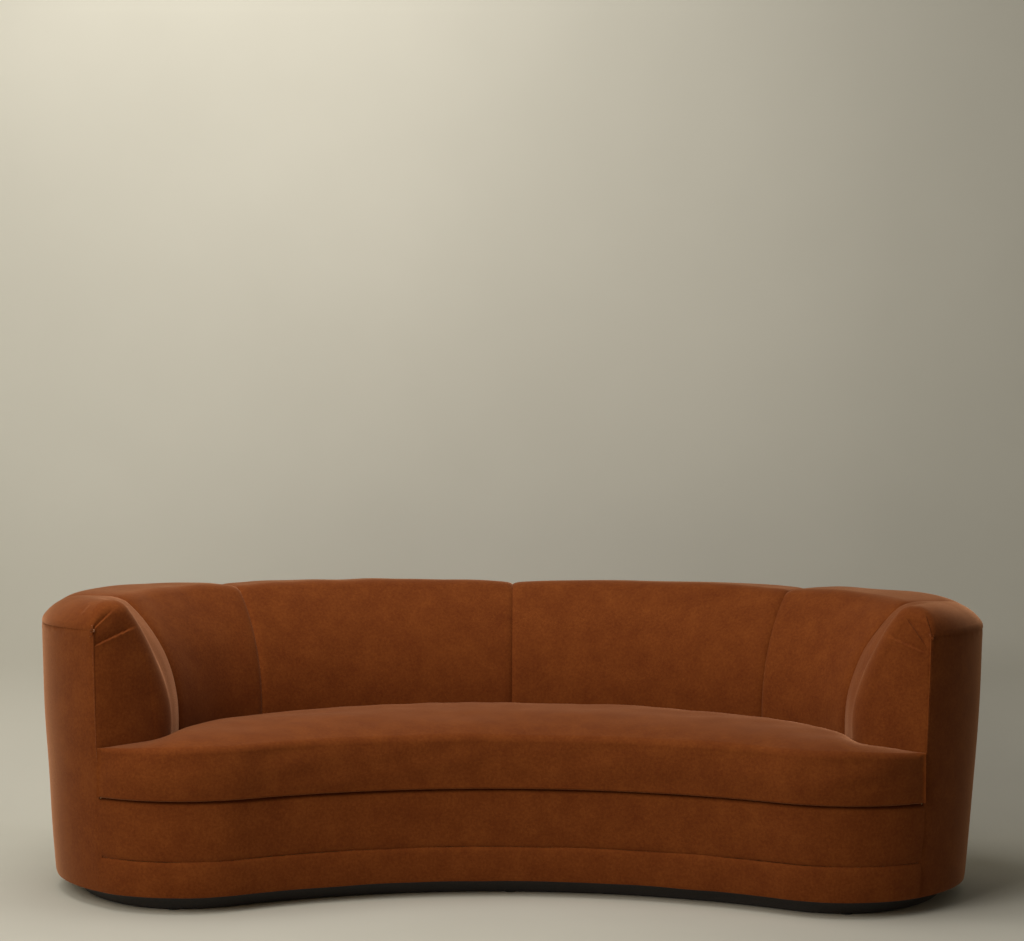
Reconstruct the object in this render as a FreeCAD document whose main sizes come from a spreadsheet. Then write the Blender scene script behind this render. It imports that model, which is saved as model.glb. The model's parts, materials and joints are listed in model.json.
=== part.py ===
"""Curved sofa: a kidney-plan three-seater with channelled back, rolled arms and one bench cushion.

The frame is plywood ribs on studs over a recessed plinth, sprung, padded and covered piece by piece.
X runs to the sitter's left-hand side seen from the front, the front faces -Y, and Z is up from the floor.
"""
import FreeCAD, Part
import copy
import math
import os
from FreeCAD import Vector

doc = FreeCAD.newDocument("curved_sofa")
sheet = doc.addObject("Spreadsheet::Sheet", "Sizes")

# Driving dimensions in millimetres and degrees
DRIVING = (
    # Plan of the upholstery at its bottom edge
    ("half_width", 1180, "middle to the widest point of the side"),
    ("lobe_front", 507, "origin to the foremost point of the front lobes"),
    ("front_middle", 275, "origin to the middle of the hollow front"),
    ("back_reach", 493.6, "origin to the back"),
    ("end_radius", 480, "front half of the rounded ends"),
    ("shoulder_radius", 330, "back half of the rounded ends"),
    ("lobe_radius", 300, "front lobes"),
    ("seam_angle", 37.5, "place of the arm's front seam, from straight ahead"),
    # Plan of the seating well at seat height
    ("well_half", 852, "middle to the inside of the arm"),
    ("well_back", 263, "origin to the inside of the back"),
    ("well_radius", 430, "inside corners of the well"),
    ("arm_nose_front", 297, "origin to where the arm's nose begins to round"),
    ("arm_nose", 49, "from there to the inner corner of the arm's front face"),
    ("arm_seam_turn", 76, "seam between inside arm and inside back, from straight back"),
    # Heights
    ("glide_height", 3, "nylon glides"),
    ("skirt_height", 43, "floor to the bottom edge of the upholstery"),
    ("band_height", 86, "lower band of the apron"),
    ("deck_height", 256, "floor to the cloth over the springs"),
    ("lean_start", 430, "height where the inside back starts to lean out"),
    ("arm_crest", 752, "highest line of the arms"),
    ("back_rise", 10, "highest line of the back over the arms'"),
    ("seam_drop", 70, "from the arms' highest line down to the top edge of the outside covers"),
    # Leaning and rolling of the upholstery
    ("outside_lean", 41, "outside leans out this much from skirt to top seam"),
    ("outside_belly", 5, "bow of the outside between those two"),
    ("back_lean", 180, "inside of the back to its crest"),
    ("arm_lean", 196, "inside of the arm to its crest"),
    ("front_lean", 124, "the same at the arm's front face"),
    ("back_roll", 84, "crest of the back to its outside"),
    ("arm_roll", 105, "crest of the arm to its outside"),
    ("front_roll", 72, "the same at the arm's front face"),
    ("nose_round", 45, "rounding between the arm's inside and its front face"),
    ("channel_puff", 14, "how far a back channel is drawn in at its seams"),
    ("pad_depth", 150, "inside surface to the webbing, at seat height"),
    # Materials
    ("cover_skin", 2, "velvet with its backing"),
    ("liner_board", 2, "fibre liner behind the outside covers"),
    ("fit_gap", 0.3, "clearance between soft neighbours"),
    ("nose_ease", 0.6, "extra clearance of the arm pad, whose nose curves tightly"),
    ("board_gap", 1, "clearance between boards, and round the loose cloths"),
    ("rib_board", 18, "plywood of the ribs"),
    ("rib_width", 150, "base and seat ribs"),
    ("top_rib_width", 60, "top ribs"),
    ("rail_board", 20, "curved rails and plinth boards"),
    ("stud_width", 40, "square of the upright studs"),
    ("apron_wadding", 12, "least padding on the front rail"),
    ("crossbar_share", 0.5, "outer crossbars' place, as a share of the half width"),
    ("top_rib_stop", 8, "degrees left free between top rib and front seam"),
    ("plinth_recess", 65, "plinth set back under the upholstery"),
    ("glide_radius", 15, "nylon glides"),
    ("spring_wire", 4, "sinuous spring wire"),
    ("spring_pitch", 25, "distance between two cross runs of a spring"),
    ("spring_half", 20, "half the width of a sinuous spring"),
    ("spring_spacing", 150, "distance between springs"),
    ("springs_each_side", 4, "springs to either side of the middle one"),
    ("spring_grip", 40, "how far a spring reaches over the seat ribs"),
    ("web_width", 50, "jute webbing"),
    ("web_skin", 1.5, "thickness of the webbing"),
    ("deck_pad_height", 17, "felt pad over the springs"),
    ("cloth_skin", 1, "spring cloth and dust cover"),
    # Seat cushion
    ("cushion_edge", 406, "height of the cushion's top edge at the front"),
    ("cushion_crown", 45, "rise of the cushion's middle over its edges"),
    ("cushion_end_drop", 34, "how much lower the crown is at the ends"),
    ("cushion_overhang", 8, "cushion stands proud of the apron"),
    ("cushion_gap", 8, "space between cushion and inside back"),
    ("ear_gap", 4, "space between cushion ear and arm front"),
    ("zip_half_angle", 22, "half the sweep of the rear zip"),
    ("zip_height", 34, "height of the zip band"),
    ("slider_length", 16, "zip slider"),
    ("slider_height", 9, "zip slider"),
    ("slider_thick", 4, "zip slider"),
)
ROLL_FULLNESS = 1.25  # above 1, a roll keeps more belly than a circle through its ends
CHANNEL_FULLNESS = 2.5  # above 2, a channel stays flat in its middle and dips near its seams
CHANNEL_CUTS = 13  # sections across one back channel
NOSE_TURNS = (15, 30, 45, 57, 69, 80, 90)  # sections round the arm's nose, in degrees
STUD_PLACES = (0.35, 0.25)  # studs along shoulder and end, as shares of half their sweep
CROWN_OVERRUN = 40  # the cushion's crown runs on this far past its plan before it is cut
CROWN_TURNS = range(-64, 65, 8)  # sections across the cushion's crown, in degrees
LOBE_LIMIT = 48  # turns beyond this keep the front reach of the lobe

for row, (alias, value, note) in enumerate(DRIVING, start=1):
    sheet.set("A%d" % row, note)
    sheet.set("B%d" % row, str(value))
    sheet.setAlias("B%d" % row, alias)
doc.recompute()


def size(alias):
    """One driving dimension, read from the sheet."""
    return float(getattr(sheet, alias))


def polar(centre, radius, turn):
    """Point at a distance from a centre, at an angle from +Y towards +X."""
    angle = math.radians(turn)
    return centre + Vector(radius * math.sin(angle), radius * math.cos(angle), 0)


def turn_of(vector):
    """Angle of a direction from +Y towards +X, in degrees."""
    return math.degrees(math.atan2(vector.x, vector.y))


class PlanArc:
    """One arc of a plan outline. A bulging arc grows with the offset, and a hollow one shrinks."""

    def __init__(self, centre, radius, start, end, hollow=False):
        self.centre = centre
        self.radius = radius
        self.start = start
        self.end = end
        self.hollow = hollow

    def radius_at(self, offset):
        """Radius of the arc moved outwards by an offset."""
        return self.radius - offset if self.hollow else self.radius + offset

    def point(self, offset, turn):
        """Point of the moved arc at one turn."""
        return polar(self.centre, self.radius_at(offset), turn)

    def edge(self, offset):
        """The moved arc as an edge."""
        middle = (self.start + self.end) / 2
        return Part.Arc(self.point(offset, self.start), self.point(offset, middle),
                        self.point(offset, self.end)).toShape()

    def mirrored(self):
        """The arc's left-hand twin."""
        centre = Vector(-self.centre.x, self.centre.y, 0)
        return PlanArc(centre, self.radius, -self.end, -self.start, self.hollow)

    def part(self, start, end):
        """A shorter or longer stretch of the same circle."""
        return PlanArc(self.centre, self.radius, start, end, self.hollow)


# Outline of the upholstery: hollow front, lobes, rounded ends, shoulders and back, all tangent
seam_turn = 180 - size("seam_angle")
end_centre_x = size("half_width") - size("end_radius")
lobe_step = size("end_radius") - size("lobe_radius")
lobe_centre_x = end_centre_x + lobe_step * math.sin(math.radians(seam_turn))
lobe_centre_y = size("lobe_radius") - size("lobe_front")
end_centre_y = lobe_centre_y - lobe_step * math.cos(math.radians(seam_turn))
lobe_drop = lobe_centre_y + size("front_middle")
front_radius = (lobe_centre_x ** 2 + lobe_drop ** 2 - size("lobe_radius") ** 2) / (
    2 * (size("lobe_radius") - lobe_drop))
front_centre = Vector(0, -size("front_middle") - front_radius, 0)
lobe_centre = Vector(lobe_centre_x, lobe_centre_y, 0)
end_centre = Vector(end_centre_x, end_centre_y, 0)
shoulder_centre = Vector(size("half_width") - size("shoulder_radius"), end_centre_y, 0)
shoulder_rise = size("back_reach") - end_centre_y - size("shoulder_radius")
back_turn = 2 * math.degrees(math.atan2(shoulder_rise, shoulder_centre.x))
back_radius = size("shoulder_radius") + shoulder_centre.x / math.sin(math.radians(back_turn))
back_centre = Vector(0, size("back_reach") - back_radius, 0)
front_turn = turn_of(lobe_centre - front_centre)

front = PlanArc(front_centre, front_radius, -front_turn, front_turn, hollow=True)
lobe = PlanArc(lobe_centre, size("lobe_radius"), 180 + front_turn, seam_turn)
end = PlanArc(end_centre, size("end_radius"), seam_turn, 90)
shoulder = PlanArc(shoulder_centre, size("shoulder_radius"), 90, back_turn)
back = PlanArc(back_centre, back_radius, back_turn, -back_turn)
front_run = [lobe.mirrored(), front, lobe]
right_run = [end, shoulder]
back_run = [back]
whole_run = [front, lobe, end, shoulder, back, shoulder.mirrored(), end.mirrored(), lobe.mirrored()]

# Outline of the seating well: back arc and two corner arcs
corner_centre = Vector(size("well_half") - size("well_radius"), -size("arm_nose_front"), 0)
corner_rise = size("well_back") - corner_centre.y - size("well_radius")
corner_turn = 2 * math.degrees(math.atan2(corner_rise, corner_centre.x))
well_back_radius = size("well_radius") + corner_centre.x / math.sin(math.radians(corner_turn))
well_centre = Vector(0, size("well_back") - well_back_radius, 0)
well_back = PlanArc(well_centre, well_back_radius, -corner_turn, corner_turn)
well_corner = PlanArc(corner_centre, size("well_radius"), corner_turn, 90)
well_run = [well_corner.part(corner_turn, 90).mirrored(), well_back, well_corner]

# Heights worked out from the driving ones
skirt = size("skirt_height")
fit = size("fit_gap")
skin = size("cover_skin")
rib = size("rib_board")
top_seam = size("arm_crest") - size("seam_drop")
back_crest = size("arm_crest") + size("back_rise")
band_top = skirt + size("band_height")
deck_cloth_top = size("deck_height") + size("cloth_skin")
deck_pad_top = deck_cloth_top + fit + size("deck_pad_height")
deck_top = deck_pad_top + fit + skin
sitting_level = deck_top + fit
seat_rib_bottom = size("deck_height") - fit - 2 * size("spring_wire") - rib
spring_level = seat_rib_bottom + rib
top_rib_bottom = top_seam - fit - rib


def outside_offset(height):
    """How far the outside stands beyond the bottom edge's outline: a shallow bow from skirt to top seam."""
    share = (height - skirt) / (top_seam - skirt)
    return size("outside_lean") * share + 4 * size("outside_belly") * share * (1 - share)


# Builders of document objects

def keep(label, shape):
    """A solid whose shape is worked out here, as an object of the document."""
    thing = doc.addObject("Part::Feature", label)
    thing.Label = label
    thing.Shape = shape
    thing.Placement = FreeCAD.Placement()
    sub_parts.append(thing)
    return thing


def prism(label, faces, level, height):
    """Flat outlines pushed up by a height, both given as expressions on the sheet."""
    outline = doc.addObject("Part::Feature", label + "_outline")
    outline.Shape = faces if isinstance(faces, Part.Face) else Part.makeCompound(faces)
    thing = doc.addObject("Part::Extrusion", label)
    thing.Label = label
    thing.Base = outline
    thing.DirMode = "Custom"
    thing.Dir = Vector(0, 0, 1)
    thing.Solid = True
    thing.setExpression("LengthFwd", height)
    thing.setExpression("Placement.Base.z", level)
    sub_parts.append(thing)
    return thing


def mirror(label, source):
    """The left-hand twin of a right-hand piece."""
    thing = doc.addObject("Part::Mirroring", label)
    thing.Label = label
    thing.Source = source
    thing.Normal = Vector(1, 0, 0)
    sub_parts.append(thing)
    return thing


sub_parts = []


# Flat outlines

def closed_face(edges):
    """Flat face inside a closed set of edges given in any order."""
    return Part.Face(Part.Wire(Part.__sortEdges__(edges)))


def line(start, finish):
    """Straight edge."""
    return Part.LineSegment(start, finish).toShape()


def run_ends(run, offset):
    """First and last point of a run of arcs at an offset."""
    return run[0].point(offset, run[0].start), run[-1].point(offset, run[-1].end)


def band(run, outer, inner):
    """Strip between two offsets of a run of arcs."""
    edges = [arc.edge(outer) for arc in run] + [arc.edge(inner) for arc in run]
    for outside, inside in zip(run_ends(run, outer), run_ends(run, inner)):
        edges.append(line(outside, inside))
    return closed_face(edges)


def kidney(offset):
    """The whole plan of the upholstery at an offset."""
    return closed_face([arc.edge(offset) for arc in whole_run])


def ray_reach(point, direction, arcs, offset):
    """Distance from a point along a direction to the first of some bulging arcs that it leaves through."""
    for arc in arcs:
        away = point - arc.centre
        along = away.dot(direction)
        root = along ** 2 - away.dot(away) + arc.radius_at(offset) ** 2
        if root < 0:
            continue
        reach = math.sqrt(root) - along
        turn = turn_of(point + direction * reach - arc.centre)
        low, high = sorted((arc.start, arc.end))
        if low - 0.001 <= turn <= high + 0.001:
            return reach
    raise ValueError("a section line misses the outline")


# Arm front: a flat face from the front seam to the inside of the arm
seam_corner = end.point(size("outside_lean"), seam_turn)
face_inner = Vector(size("well_half"), -size("arm_nose_front") - size("arm_nose"), 0)
face_line = (seam_corner - face_inner).normalize()
face_normal = Vector(face_line.y, -face_line.x, 0)
if face_normal.y > 0:
    face_normal = face_normal * -1


def ear_place(front_offset, gap):
    """Turn on the lobe where it meets the arm's front face, moved forward by a gap."""
    centre = lobe.centre - face_inner - face_normal * gap
    height = centre.dot(face_normal)
    along = centre.dot(face_line) + math.sqrt(lobe.radius_at(front_offset) ** 2 - height ** 2)
    return turn_of(face_inner + face_normal * gap + face_line * along - lobe.centre)


def deck_outline(front_offset, side_offset):
    """Plan of the sprung deck: it runs on under the back and arm pads."""
    side_end = well_corner.point(side_offset, 90)
    inner_corner = face_inner + face_line * side_offset
    ear_turn = ear_place(front_offset, 0)
    right = [lobe.part(180 + front_turn, ear_turn).edge(front_offset),
             line(lobe.point(front_offset, ear_turn), inner_corner), line(inner_corner, side_end),
             well_corner.edge(side_offset)]
    left = [edge.mirror(Vector(0, 0, 0), Vector(1, 0, 0)) for edge in right]
    return closed_face(right + left + [front.edge(front_offset), well_back.edge(side_offset)])


# Outside skins: upright profiles turned about each arc's centre

def bowed_edge(arc, turn, low, high, inset):
    """The outside's upright profile at one place of an arc, inset from the surface."""
    curve = Part.BSplineCurve()
    curve.interpolate([arc.point(outside_offset(height) - inset, turn) + Vector(0, 0, height)
                       for height in (low, (low + high) / 2, high)])
    return curve.toShape()


def turned_skin(run, low, high, outer_inset, inner_inset=None, inner_offset=None):
    """Upright skin over a run of arcs. Its inner face follows the outer one, or stands plumb."""
    pieces = []
    for arc in run:
        outer = bowed_edge(arc, arc.start, low, high, outer_inset)
        if inner_offset is None:
            inner = bowed_edge(arc, arc.start, low, high, inner_inset)
        else:
            foot = arc.point(inner_offset, arc.start)
            inner = line(foot + Vector(0, 0, low), foot + Vector(0, 0, high))
        edges = [outer, inner]
        edges += [line(outer.Vertexes[k].Point, inner.Vertexes[k].Point) for k in (0, 1)]
        profile = closed_face(edges)
        pieces.append(profile.revolve(arc.centre, Vector(0, 0, 1), arc.start - arc.end))
    if len(pieces) == 1:
        return pieces[0]
    return pieces[0].multiFuse(pieces[1:]).removeSplitter()


# Inside upholstery: sections carried along the well

def roll_radii(across, rise, tall):
    """Two radii and the turn between them that round a corner of unequal legs smoothly."""
    if tall:
        turn = 2 * math.atan(across / (ROLL_FULLNESS * rise))
    else:
        turn = math.pi / 2 - 2 * math.atan(rise / (ROLL_FULLNESS * across))
    sine = math.sin(turn)
    cosine = math.cos(turn)
    scale = 1 - cosine - sine
    upright = (across * (1 - sine) - rise * cosine) / scale
    level = ((1 - cosine) * rise - sine * across) / scale
    return upright, level, turn


class Section:
    """One upright cut through back or arm: inside face, lean, crest, outside roll."""

    def __init__(self, foot, direction, width, drawn_in, crest, lean, roll):
        self.foot = foot
        self.direction = direction
        self.width = width
        self.drawn_in = drawn_in
        self.crest = crest - drawn_in
        self.inner_crest = lean
        self.outer_crest = width - roll

    def place(self, across, height):
        """Point of the section, across from its foot and up from the floor."""
        return self.foot + self.direction * across + Vector(0, 0, height)

    def moved(self, shift):
        """The same section somewhere else."""
        twin = copy.copy(self)
        twin.foot = self.foot + shift
        return twin

    def arc(self, centre, radius, start, finish):
        """Arc in the section's own plane."""
        points = [self.place(centre[0] + radius * math.cos(turn), centre[1] + radius * math.sin(turn))
                  for turn in (start, (start + finish) / 2, finish)]
        return Part.Arc(*points).toShape()

    def surface(self, inset):
        """Edges of the visible surface, from the seat up, over the crest and down to the top seam."""
        lean_start = size("lean_start")
        upright, level, turn = roll_radii(self.inner_crest - self.drawn_in, self.crest - lean_start, True)
        upright_centre = (self.drawn_in + upright, lean_start)
        level_centre = (self.inner_crest, self.crest - level)
        edges = [line(self.place(self.drawn_in + inset, sitting_level),
                      self.place(self.drawn_in + inset, lean_start)),
                 self.arc(upright_centre, upright - inset, math.pi, math.pi - turn),
                 self.arc(level_centre, level - inset, math.pi - turn, math.pi / 2),
                 line(self.place(self.inner_crest, self.crest - inset),
                      self.place(self.outer_crest, self.crest - inset))]
        upright, level, turn = roll_radii(self.width - self.outer_crest, self.crest - top_seam, False)
        edges.append(self.arc((self.outer_crest, self.crest - level), level - inset, math.pi / 2, turn))
        edges.append(self.arc((self.width - upright, top_seam), upright - inset, turn, 0))
        return edges

    def skin_wire(self, outer_inset, inner_inset):
        """Outline of a cover between two insets of the surface."""
        outer = self.surface(outer_inset)
        inner = self.surface(inner_inset)
        foot = sitting_level
        closing = [line(self.place(self.drawn_in + outer_inset, foot),
                        self.place(self.drawn_in + inner_inset, foot)),
                   line(self.place(self.width - outer_inset, top_seam),
                        self.place(self.width - inner_inset, top_seam))]
        return Part.Wire(Part.__sortEdges__(outer + inner + closing))

    def pad_wire(self, inset):
        """Outline of a pad under the cover: it hooks over the top rib and hangs to the seat."""
        depth = size("pad_depth")
        corners = [self.place(self.width - inset, top_seam), self.place(depth, top_seam),
                   self.place(depth, sitting_level), self.place(self.drawn_in + inset, sitting_level)]
        closing = [line(corners[k], corners[k + 1]) for k in range(3)]
        return Part.Wire(Part.__sortEdges__(self.surface(inset) + closing))


def back_section(arc, turn, drawn_in, arm_share=0.0):
    """Section square to the well, blended from the back's sizes to the arm's."""
    foot = arc.point(0, turn)
    direction = polar(Vector(0, 0, 0), 1, turn)
    width = ray_reach(foot, direction, [back, shoulder, end], size("outside_lean"))
    crest = back_crest * (1 - arm_share) + size("arm_crest") * arm_share
    lean, roll = [size(a) * (1 - arm_share) + size(b) * arm_share
                  for a, b in (("back_lean", "arm_lean"), ("back_roll", "arm_roll"))]
    return Section(foot, direction, width, drawn_in, crest, lean, roll)


def channel_sections(arc, start, finish, arm_shares):
    """Sections across one back channel: full in its middle, drawn in at both seams."""
    sections = []
    for step in range(CHANNEL_CUTS):
        share = step / (CHANNEL_CUTS - 1)
        drawn_in = size("channel_puff") * abs(2 * share - 1) ** CHANNEL_FULLNESS
        arm_share = arm_shares[0] + (arm_shares[1] - arm_shares[0]) * share
        sections.append(back_section(arc, start + (finish - start) * share, drawn_in, arm_share))
    return sections


def nose_section(angle):
    """Section in the fan about the arm's nose, from 0 at its inside to 90 degrees at its front face."""
    share = math.sin(math.radians(angle))
    rounding = 1 - math.cos(math.radians(angle))
    side_foot = well_corner.point(0, 90)
    reach = ray_reach(side_foot, Vector(1, 0, 0), [end], size("outside_lean"))
    start_turn = turn_of(side_foot + Vector(reach, 0, 0) - end_centre)
    foot = side_foot + (face_inner - side_foot) * share
    outer = end.point(size("outside_lean"), start_turn + (seam_turn - start_turn) * share)
    lean = size("arm_lean") + (size("front_lean") - size("arm_lean")) * share ** 2
    roll = size("arm_roll") + (size("front_roll") - size("arm_roll")) * share ** 2
    return Section(foot, (outer - foot).normalize(), (outer - foot).Length, size("nose_round") * rounding,
                   size("arm_crest"), lean, roll)


def arm_sections():
    """Sections from the arm's inside seam to its front face, rounded off at the nose."""
    sections = []
    for share, drawn_share in ((0, 1), (0.2, 0.35), (0.5, 0.05), (1, 0)):
        turn = size("arm_seam_turn") + (90 - size("arm_seam_turn")) * share
        sections.append(back_section(well_corner, turn, size("channel_puff") * drawn_share, 1.0))
    return sections + [nose_section(angle) for angle in NOSE_TURNS]


def seat_outline(front_offset, ear_gap, side_offset):
    """Plan that fills the well and runs forward to the front, with ears before the arm fronts.

    The sides follow the well at side_offset, and the ears keep ear_gap from the arm fronts.
    """
    shift = face_normal * ear_gap
    ear_turn = ear_place(front_offset, ear_gap)
    ear = lobe.point(front_offset, ear_turn)
    nose = [nose_section(angle) for angle in (45, 90)]
    middle, inner_end = [section.place(section.drawn_in, 0) for section in nose]
    inner_end += shift
    middle += shift * 0.6 + Vector(side_offset * 0.8, 0, 0)
    side_end = well_corner.point(side_offset, 90)
    right = [lobe.part(180 + front_turn, ear_turn).edge(front_offset), line(ear, inner_end),
             Part.Arc(inner_end, middle, side_end).toShape(), well_corner.edge(side_offset)]
    left = [edge.mirror(Vector(0, 0, 0), Vector(1, 0, 0)) for edge in right]
    return closed_face(right + left + [front.edge(front_offset), well_back.edge(side_offset)])


def loft(wires, ruled=True):
    """Solid through some outlines, straight from one to the next or smooth."""
    return Part.makeLoft(wires, True, ruled)


pad_inset = skin + fit
inner_channel = channel_sections(well_back, 0, corner_turn, (0, 0))
outer_channel = channel_sections(well_corner, corner_turn, size("arm_seam_turn"), (0, 1))
arm_run = arm_sections()


def face_width(height):
    """Width of the arm's front face, from its inner corner to the outside surface."""
    reach = end.radius_at(outside_offset(height))
    away = face_inner - end_centre
    along = away.dot(face_line)
    return math.sqrt(along ** 2 - away.dot(away) + reach ** 2) - along


def face_side(section, low, high, inset):
    """Outer edge of a piece in the arm's front face, following the leaning outside."""
    points = [section.place(face_width(height) - inset, height) for height in (low, (low + high) / 2, high)]
    return Part.Arc(*points).toShape()


def face_plate(depth):
    """The arm's flat front, from its visible face to a depth behind it."""
    section = nose_section(90)
    surface = section.surface(0)
    side = face_side(section, sitting_level, top_seam, pad_inset + size("liner_board") + 2 * fit)
    foot, head = sorted((vertex.Point for vertex in side.Vertexes), key=lambda point: point.z)
    edges = surface + [side, line(section.place(section.width, top_seam), head),
                       line(foot, section.place(section.drawn_in, sitting_level))]
    return closed_face(edges).extrude(face_normal * -depth)


# Back and arm pads and their covers
arm_inset = pad_inset + size("nose_ease")
arm_pad_run = arm_run[:-1] + [arm_run[-1].moved(face_normal * -arm_inset)]
for name, cover_name, pad_run, cover_run, inset in (
        ("inner_back_pad", "inner_back_cover", inner_channel, inner_channel, pad_inset),
        ("outer_back_pad", "outer_back_cover", outer_channel, outer_channel, pad_inset),
        ("arm_pad", "inside_arm_cover", arm_pad_run, arm_run, arm_inset)):
    cover_shape = loft([section.skin_wire(0, skin) for section in cover_run])
    if cover_run is arm_run:
        cover_shape = cover_shape.fuse(face_plate(skin))
    pad = keep(name + "_right", loft([section.pad_wire(inset) for section in pad_run]))
    cover = keep(cover_name + "_right", cover_shape)
    mirror(name + "_left", pad)
    mirror(cover_name + "_left", cover)

# Plinth and ribs
plinth_outer = -size("plinth_recess")
plinth_inner = plinth_outer - size("rail_board")
plinth_faces = {"plinth_front": band(front_run, plinth_outer, plinth_inner),
                "plinth_back": band(back_run, plinth_outer, plinth_inner)}
for label, face in plinth_faces.items():
    prism(label, face, "Sizes.glide_height", "Sizes.skirt_height - Sizes.glide_height")
plinth_right = prism("plinth_right", band(right_run, plinth_outer, plinth_inner), "Sizes.glide_height",
                     "Sizes.skirt_height - Sizes.glide_height")
mirror("plinth_left", plinth_right)


def bar(start, finish, width):
    """Straight bar's plan between two points."""
    along = (finish - start).normalize()
    side = Vector(-along.y, along.x, 0) * (width / 2)
    corners = [start + side, finish + side, finish - side, start - side]
    return closed_face([line(corners[k], corners[(k + 1) % 4]) for k in range(4)])


def square(centre, direction, width):
    """Square plan with one side towards a direction."""
    half = direction * (width / 2)
    return bar(centre - half, centre + half, width)


def front_edge_y(offset, x):
    """Y of the hollow front or its lobe at a distance from the middle."""
    arc = front if abs(x) < abs(front.point(offset, front_turn).x) else lobe
    reach = arc.radius_at(offset)
    step = abs(x) - arc.centre.x
    return arc.centre.y + (1 if arc.hollow else -1) * math.sqrt(reach ** 2 - step ** 2)


def back_edge_y(offset, x):
    """Y of the straight part of the back at a distance from the middle."""
    return back_centre.y + math.sqrt(back.radius_at(offset) ** 2 - x ** 2)


def cross_members(outer, width):
    """Three bars from front to back, their square ends left clear of the curved boards."""
    bars = []
    for side in (-1, 0, 1):
        x = side * size("half_width") * size("crossbar_share")
        half = width / 2
        front_y = max(front_edge_y(outer, x - half), front_edge_y(outer, x + half)) + size("board_gap")
        back_y = min(back_edge_y(outer, x - half), back_edge_y(outer, x + half)) - size("board_gap")
        bars.append(bar(Vector(x, front_y, 0), Vector(x, back_y, 0), width))
    return bars


prism("plinth_crossbars", cross_members(plinth_inner, size("rail_board")), "Sizes.glide_height",
      "Sizes.skirt_height - Sizes.glide_height - Sizes.cloth_skin - 2 * Sizes.fit_gap")
prism("dust_cover", kidney(plinth_inner - size("board_gap")),
      "Sizes.skirt_height - Sizes.cloth_skin - Sizes.fit_gap", "Sizes.cloth_skin")

glide_centre = (plinth_outer + plinth_inner) / 2
glide_spots = [arc.point(glide_centre, (arc.start + arc.end) / 2) for arc in (lobe, shoulder)]
glide_spots += [Vector(-spot.x, spot.y, 0) for spot in glide_spots]
glide_spots += [front.point(glide_centre, 0), back.point(glide_centre, 0)]
glides = [closed_face([Part.Circle(spot, Vector(0, 0, 1), size("glide_radius")).toShape()])
          for spot in glide_spots]
prism("plinth_glides", glides, "0 * Sizes.glide_height", "Sizes.glide_height")

rib_outer = -size("apron_wadding") - pad_inset
side_outer = -pad_inset - size("liner_board") - fit
rib_inner = rib_outer - size("rib_width")
front_half = [end.mirrored(), lobe.mirrored(), front, lobe, end]
back_half = [shoulder, back, shoulder.mirrored()]
seat_rib_level = "Sizes.deck_height - Sizes.fit_gap - 2 * Sizes.spring_wire - Sizes.rib_board"
for level_name, level in (("base", "Sizes.skirt_height"), ("seat", seat_rib_level)):
    for side_name, run, outer in (("front", front_half, rib_outer), ("back", back_half, side_outer)):
        prism(level_name + "_rib_" + side_name, band(run, outer, rib_inner), level, "Sizes.rib_board")

between_ribs = ("Sizes.skirt_height + Sizes.rib_board",
                "Sizes.deck_height - Sizes.fit_gap - 2 * Sizes.spring_wire - 2 * Sizes.rib_board"
                " - Sizes.skirt_height")
rail_inner = rib_outer - size("rail_board")
prism("front_rail", band(front_run, rib_outer, rail_inner), *between_ribs)
prism("back_rail", band(back_run, side_outer, rail_inner), *between_ribs)
side_rail = prism("side_rail_right", band(right_run, side_outer, rail_inner), *between_ribs)
mirror("side_rail_left", side_rail)
prism("seat_stretchers", cross_members(rail_inner, size("rail_board")), *between_ribs)

# Studs and top ribs
stud = size("stud_width")
stud_offset = rib_outer - stud / 2 - size("board_gap")
stud_faces = []
for arc, turns in ((back, (-0.6, 0, 0.6)), (shoulder, STUD_PLACES[:1]), (end, STUD_PLACES[1:])):
    for share in turns:
        turn = (arc.start + arc.end) / 2 + (arc.start - arc.end) / 2 * share
        spot = arc.point(stud_offset, turn)
        direction = polar(Vector(0, 0, 0), 1, turn)
        stud_faces.append(square(spot, direction, stud))
        if arc is not back:
            stud_faces.append(square(Vector(-spot.x, spot.y, 0), Vector(-direction.x, direction.y, 0), stud))
stud_level = seat_rib_level + " + Sizes.rib_board"
stud_length = "Sizes.arm_crest - Sizes.seam_drop - Sizes.fit_gap - Sizes.rib_board - (" + stud_level + ")"
prism("outer_studs", stud_faces, stud_level, stud_length)
top_outer = outside_offset(top_rib_bottom) - skin - size("liner_board") - 2 * fit
top_inner = top_outer - size("top_rib_width")
top_level = "Sizes.arm_crest - Sizes.seam_drop - Sizes.fit_gap - Sizes.rib_board"
prism("top_rib_back", band(back_run, top_outer, top_inner), top_level, "Sizes.rib_board")
end_stop = seam_turn - size("top_rib_stop")
top_rib = prism("top_rib_right", band([end.part(end_stop, 90), shoulder], top_outer, top_inner), top_level,
                "Sizes.rib_board")
mirror("top_rib_left", top_rib)

# Webbing and the inner rails that hold it
web_outer = size("pad_depth") + fit + size("web_skin")
inner_rail_outer = web_outer + size("rail_board")
inner_rail = band(well_run, web_outer, inner_rail_outer)
prism("low_inner_rail", inner_rail, "Sizes.deck_height", "2 * Sizes.rib_board")
prism("high_inner_rail", inner_rail,
      "Sizes.arm_crest - Sizes.seam_drop - Sizes.fit_gap - 2 * Sizes.rib_board", "2 * Sizes.rib_board")
webs = []
for arc, count in ((well_back, 9), (well_corner, 4)):
    half = math.degrees(size("web_width") / 2 / arc.radius_at(web_outer))
    for step in range(count):
        turn = arc.start + (arc.end - arc.start) * (step + 0.5) / count
        strip = band([arc.part(turn - half, turn + half)], size("pad_depth") + fit, web_outer)
        webs.append(strip)
        if arc is well_corner:
            webs.append(strip.mirror(Vector(0, 0, 0), Vector(1, 0, 0)))
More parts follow.
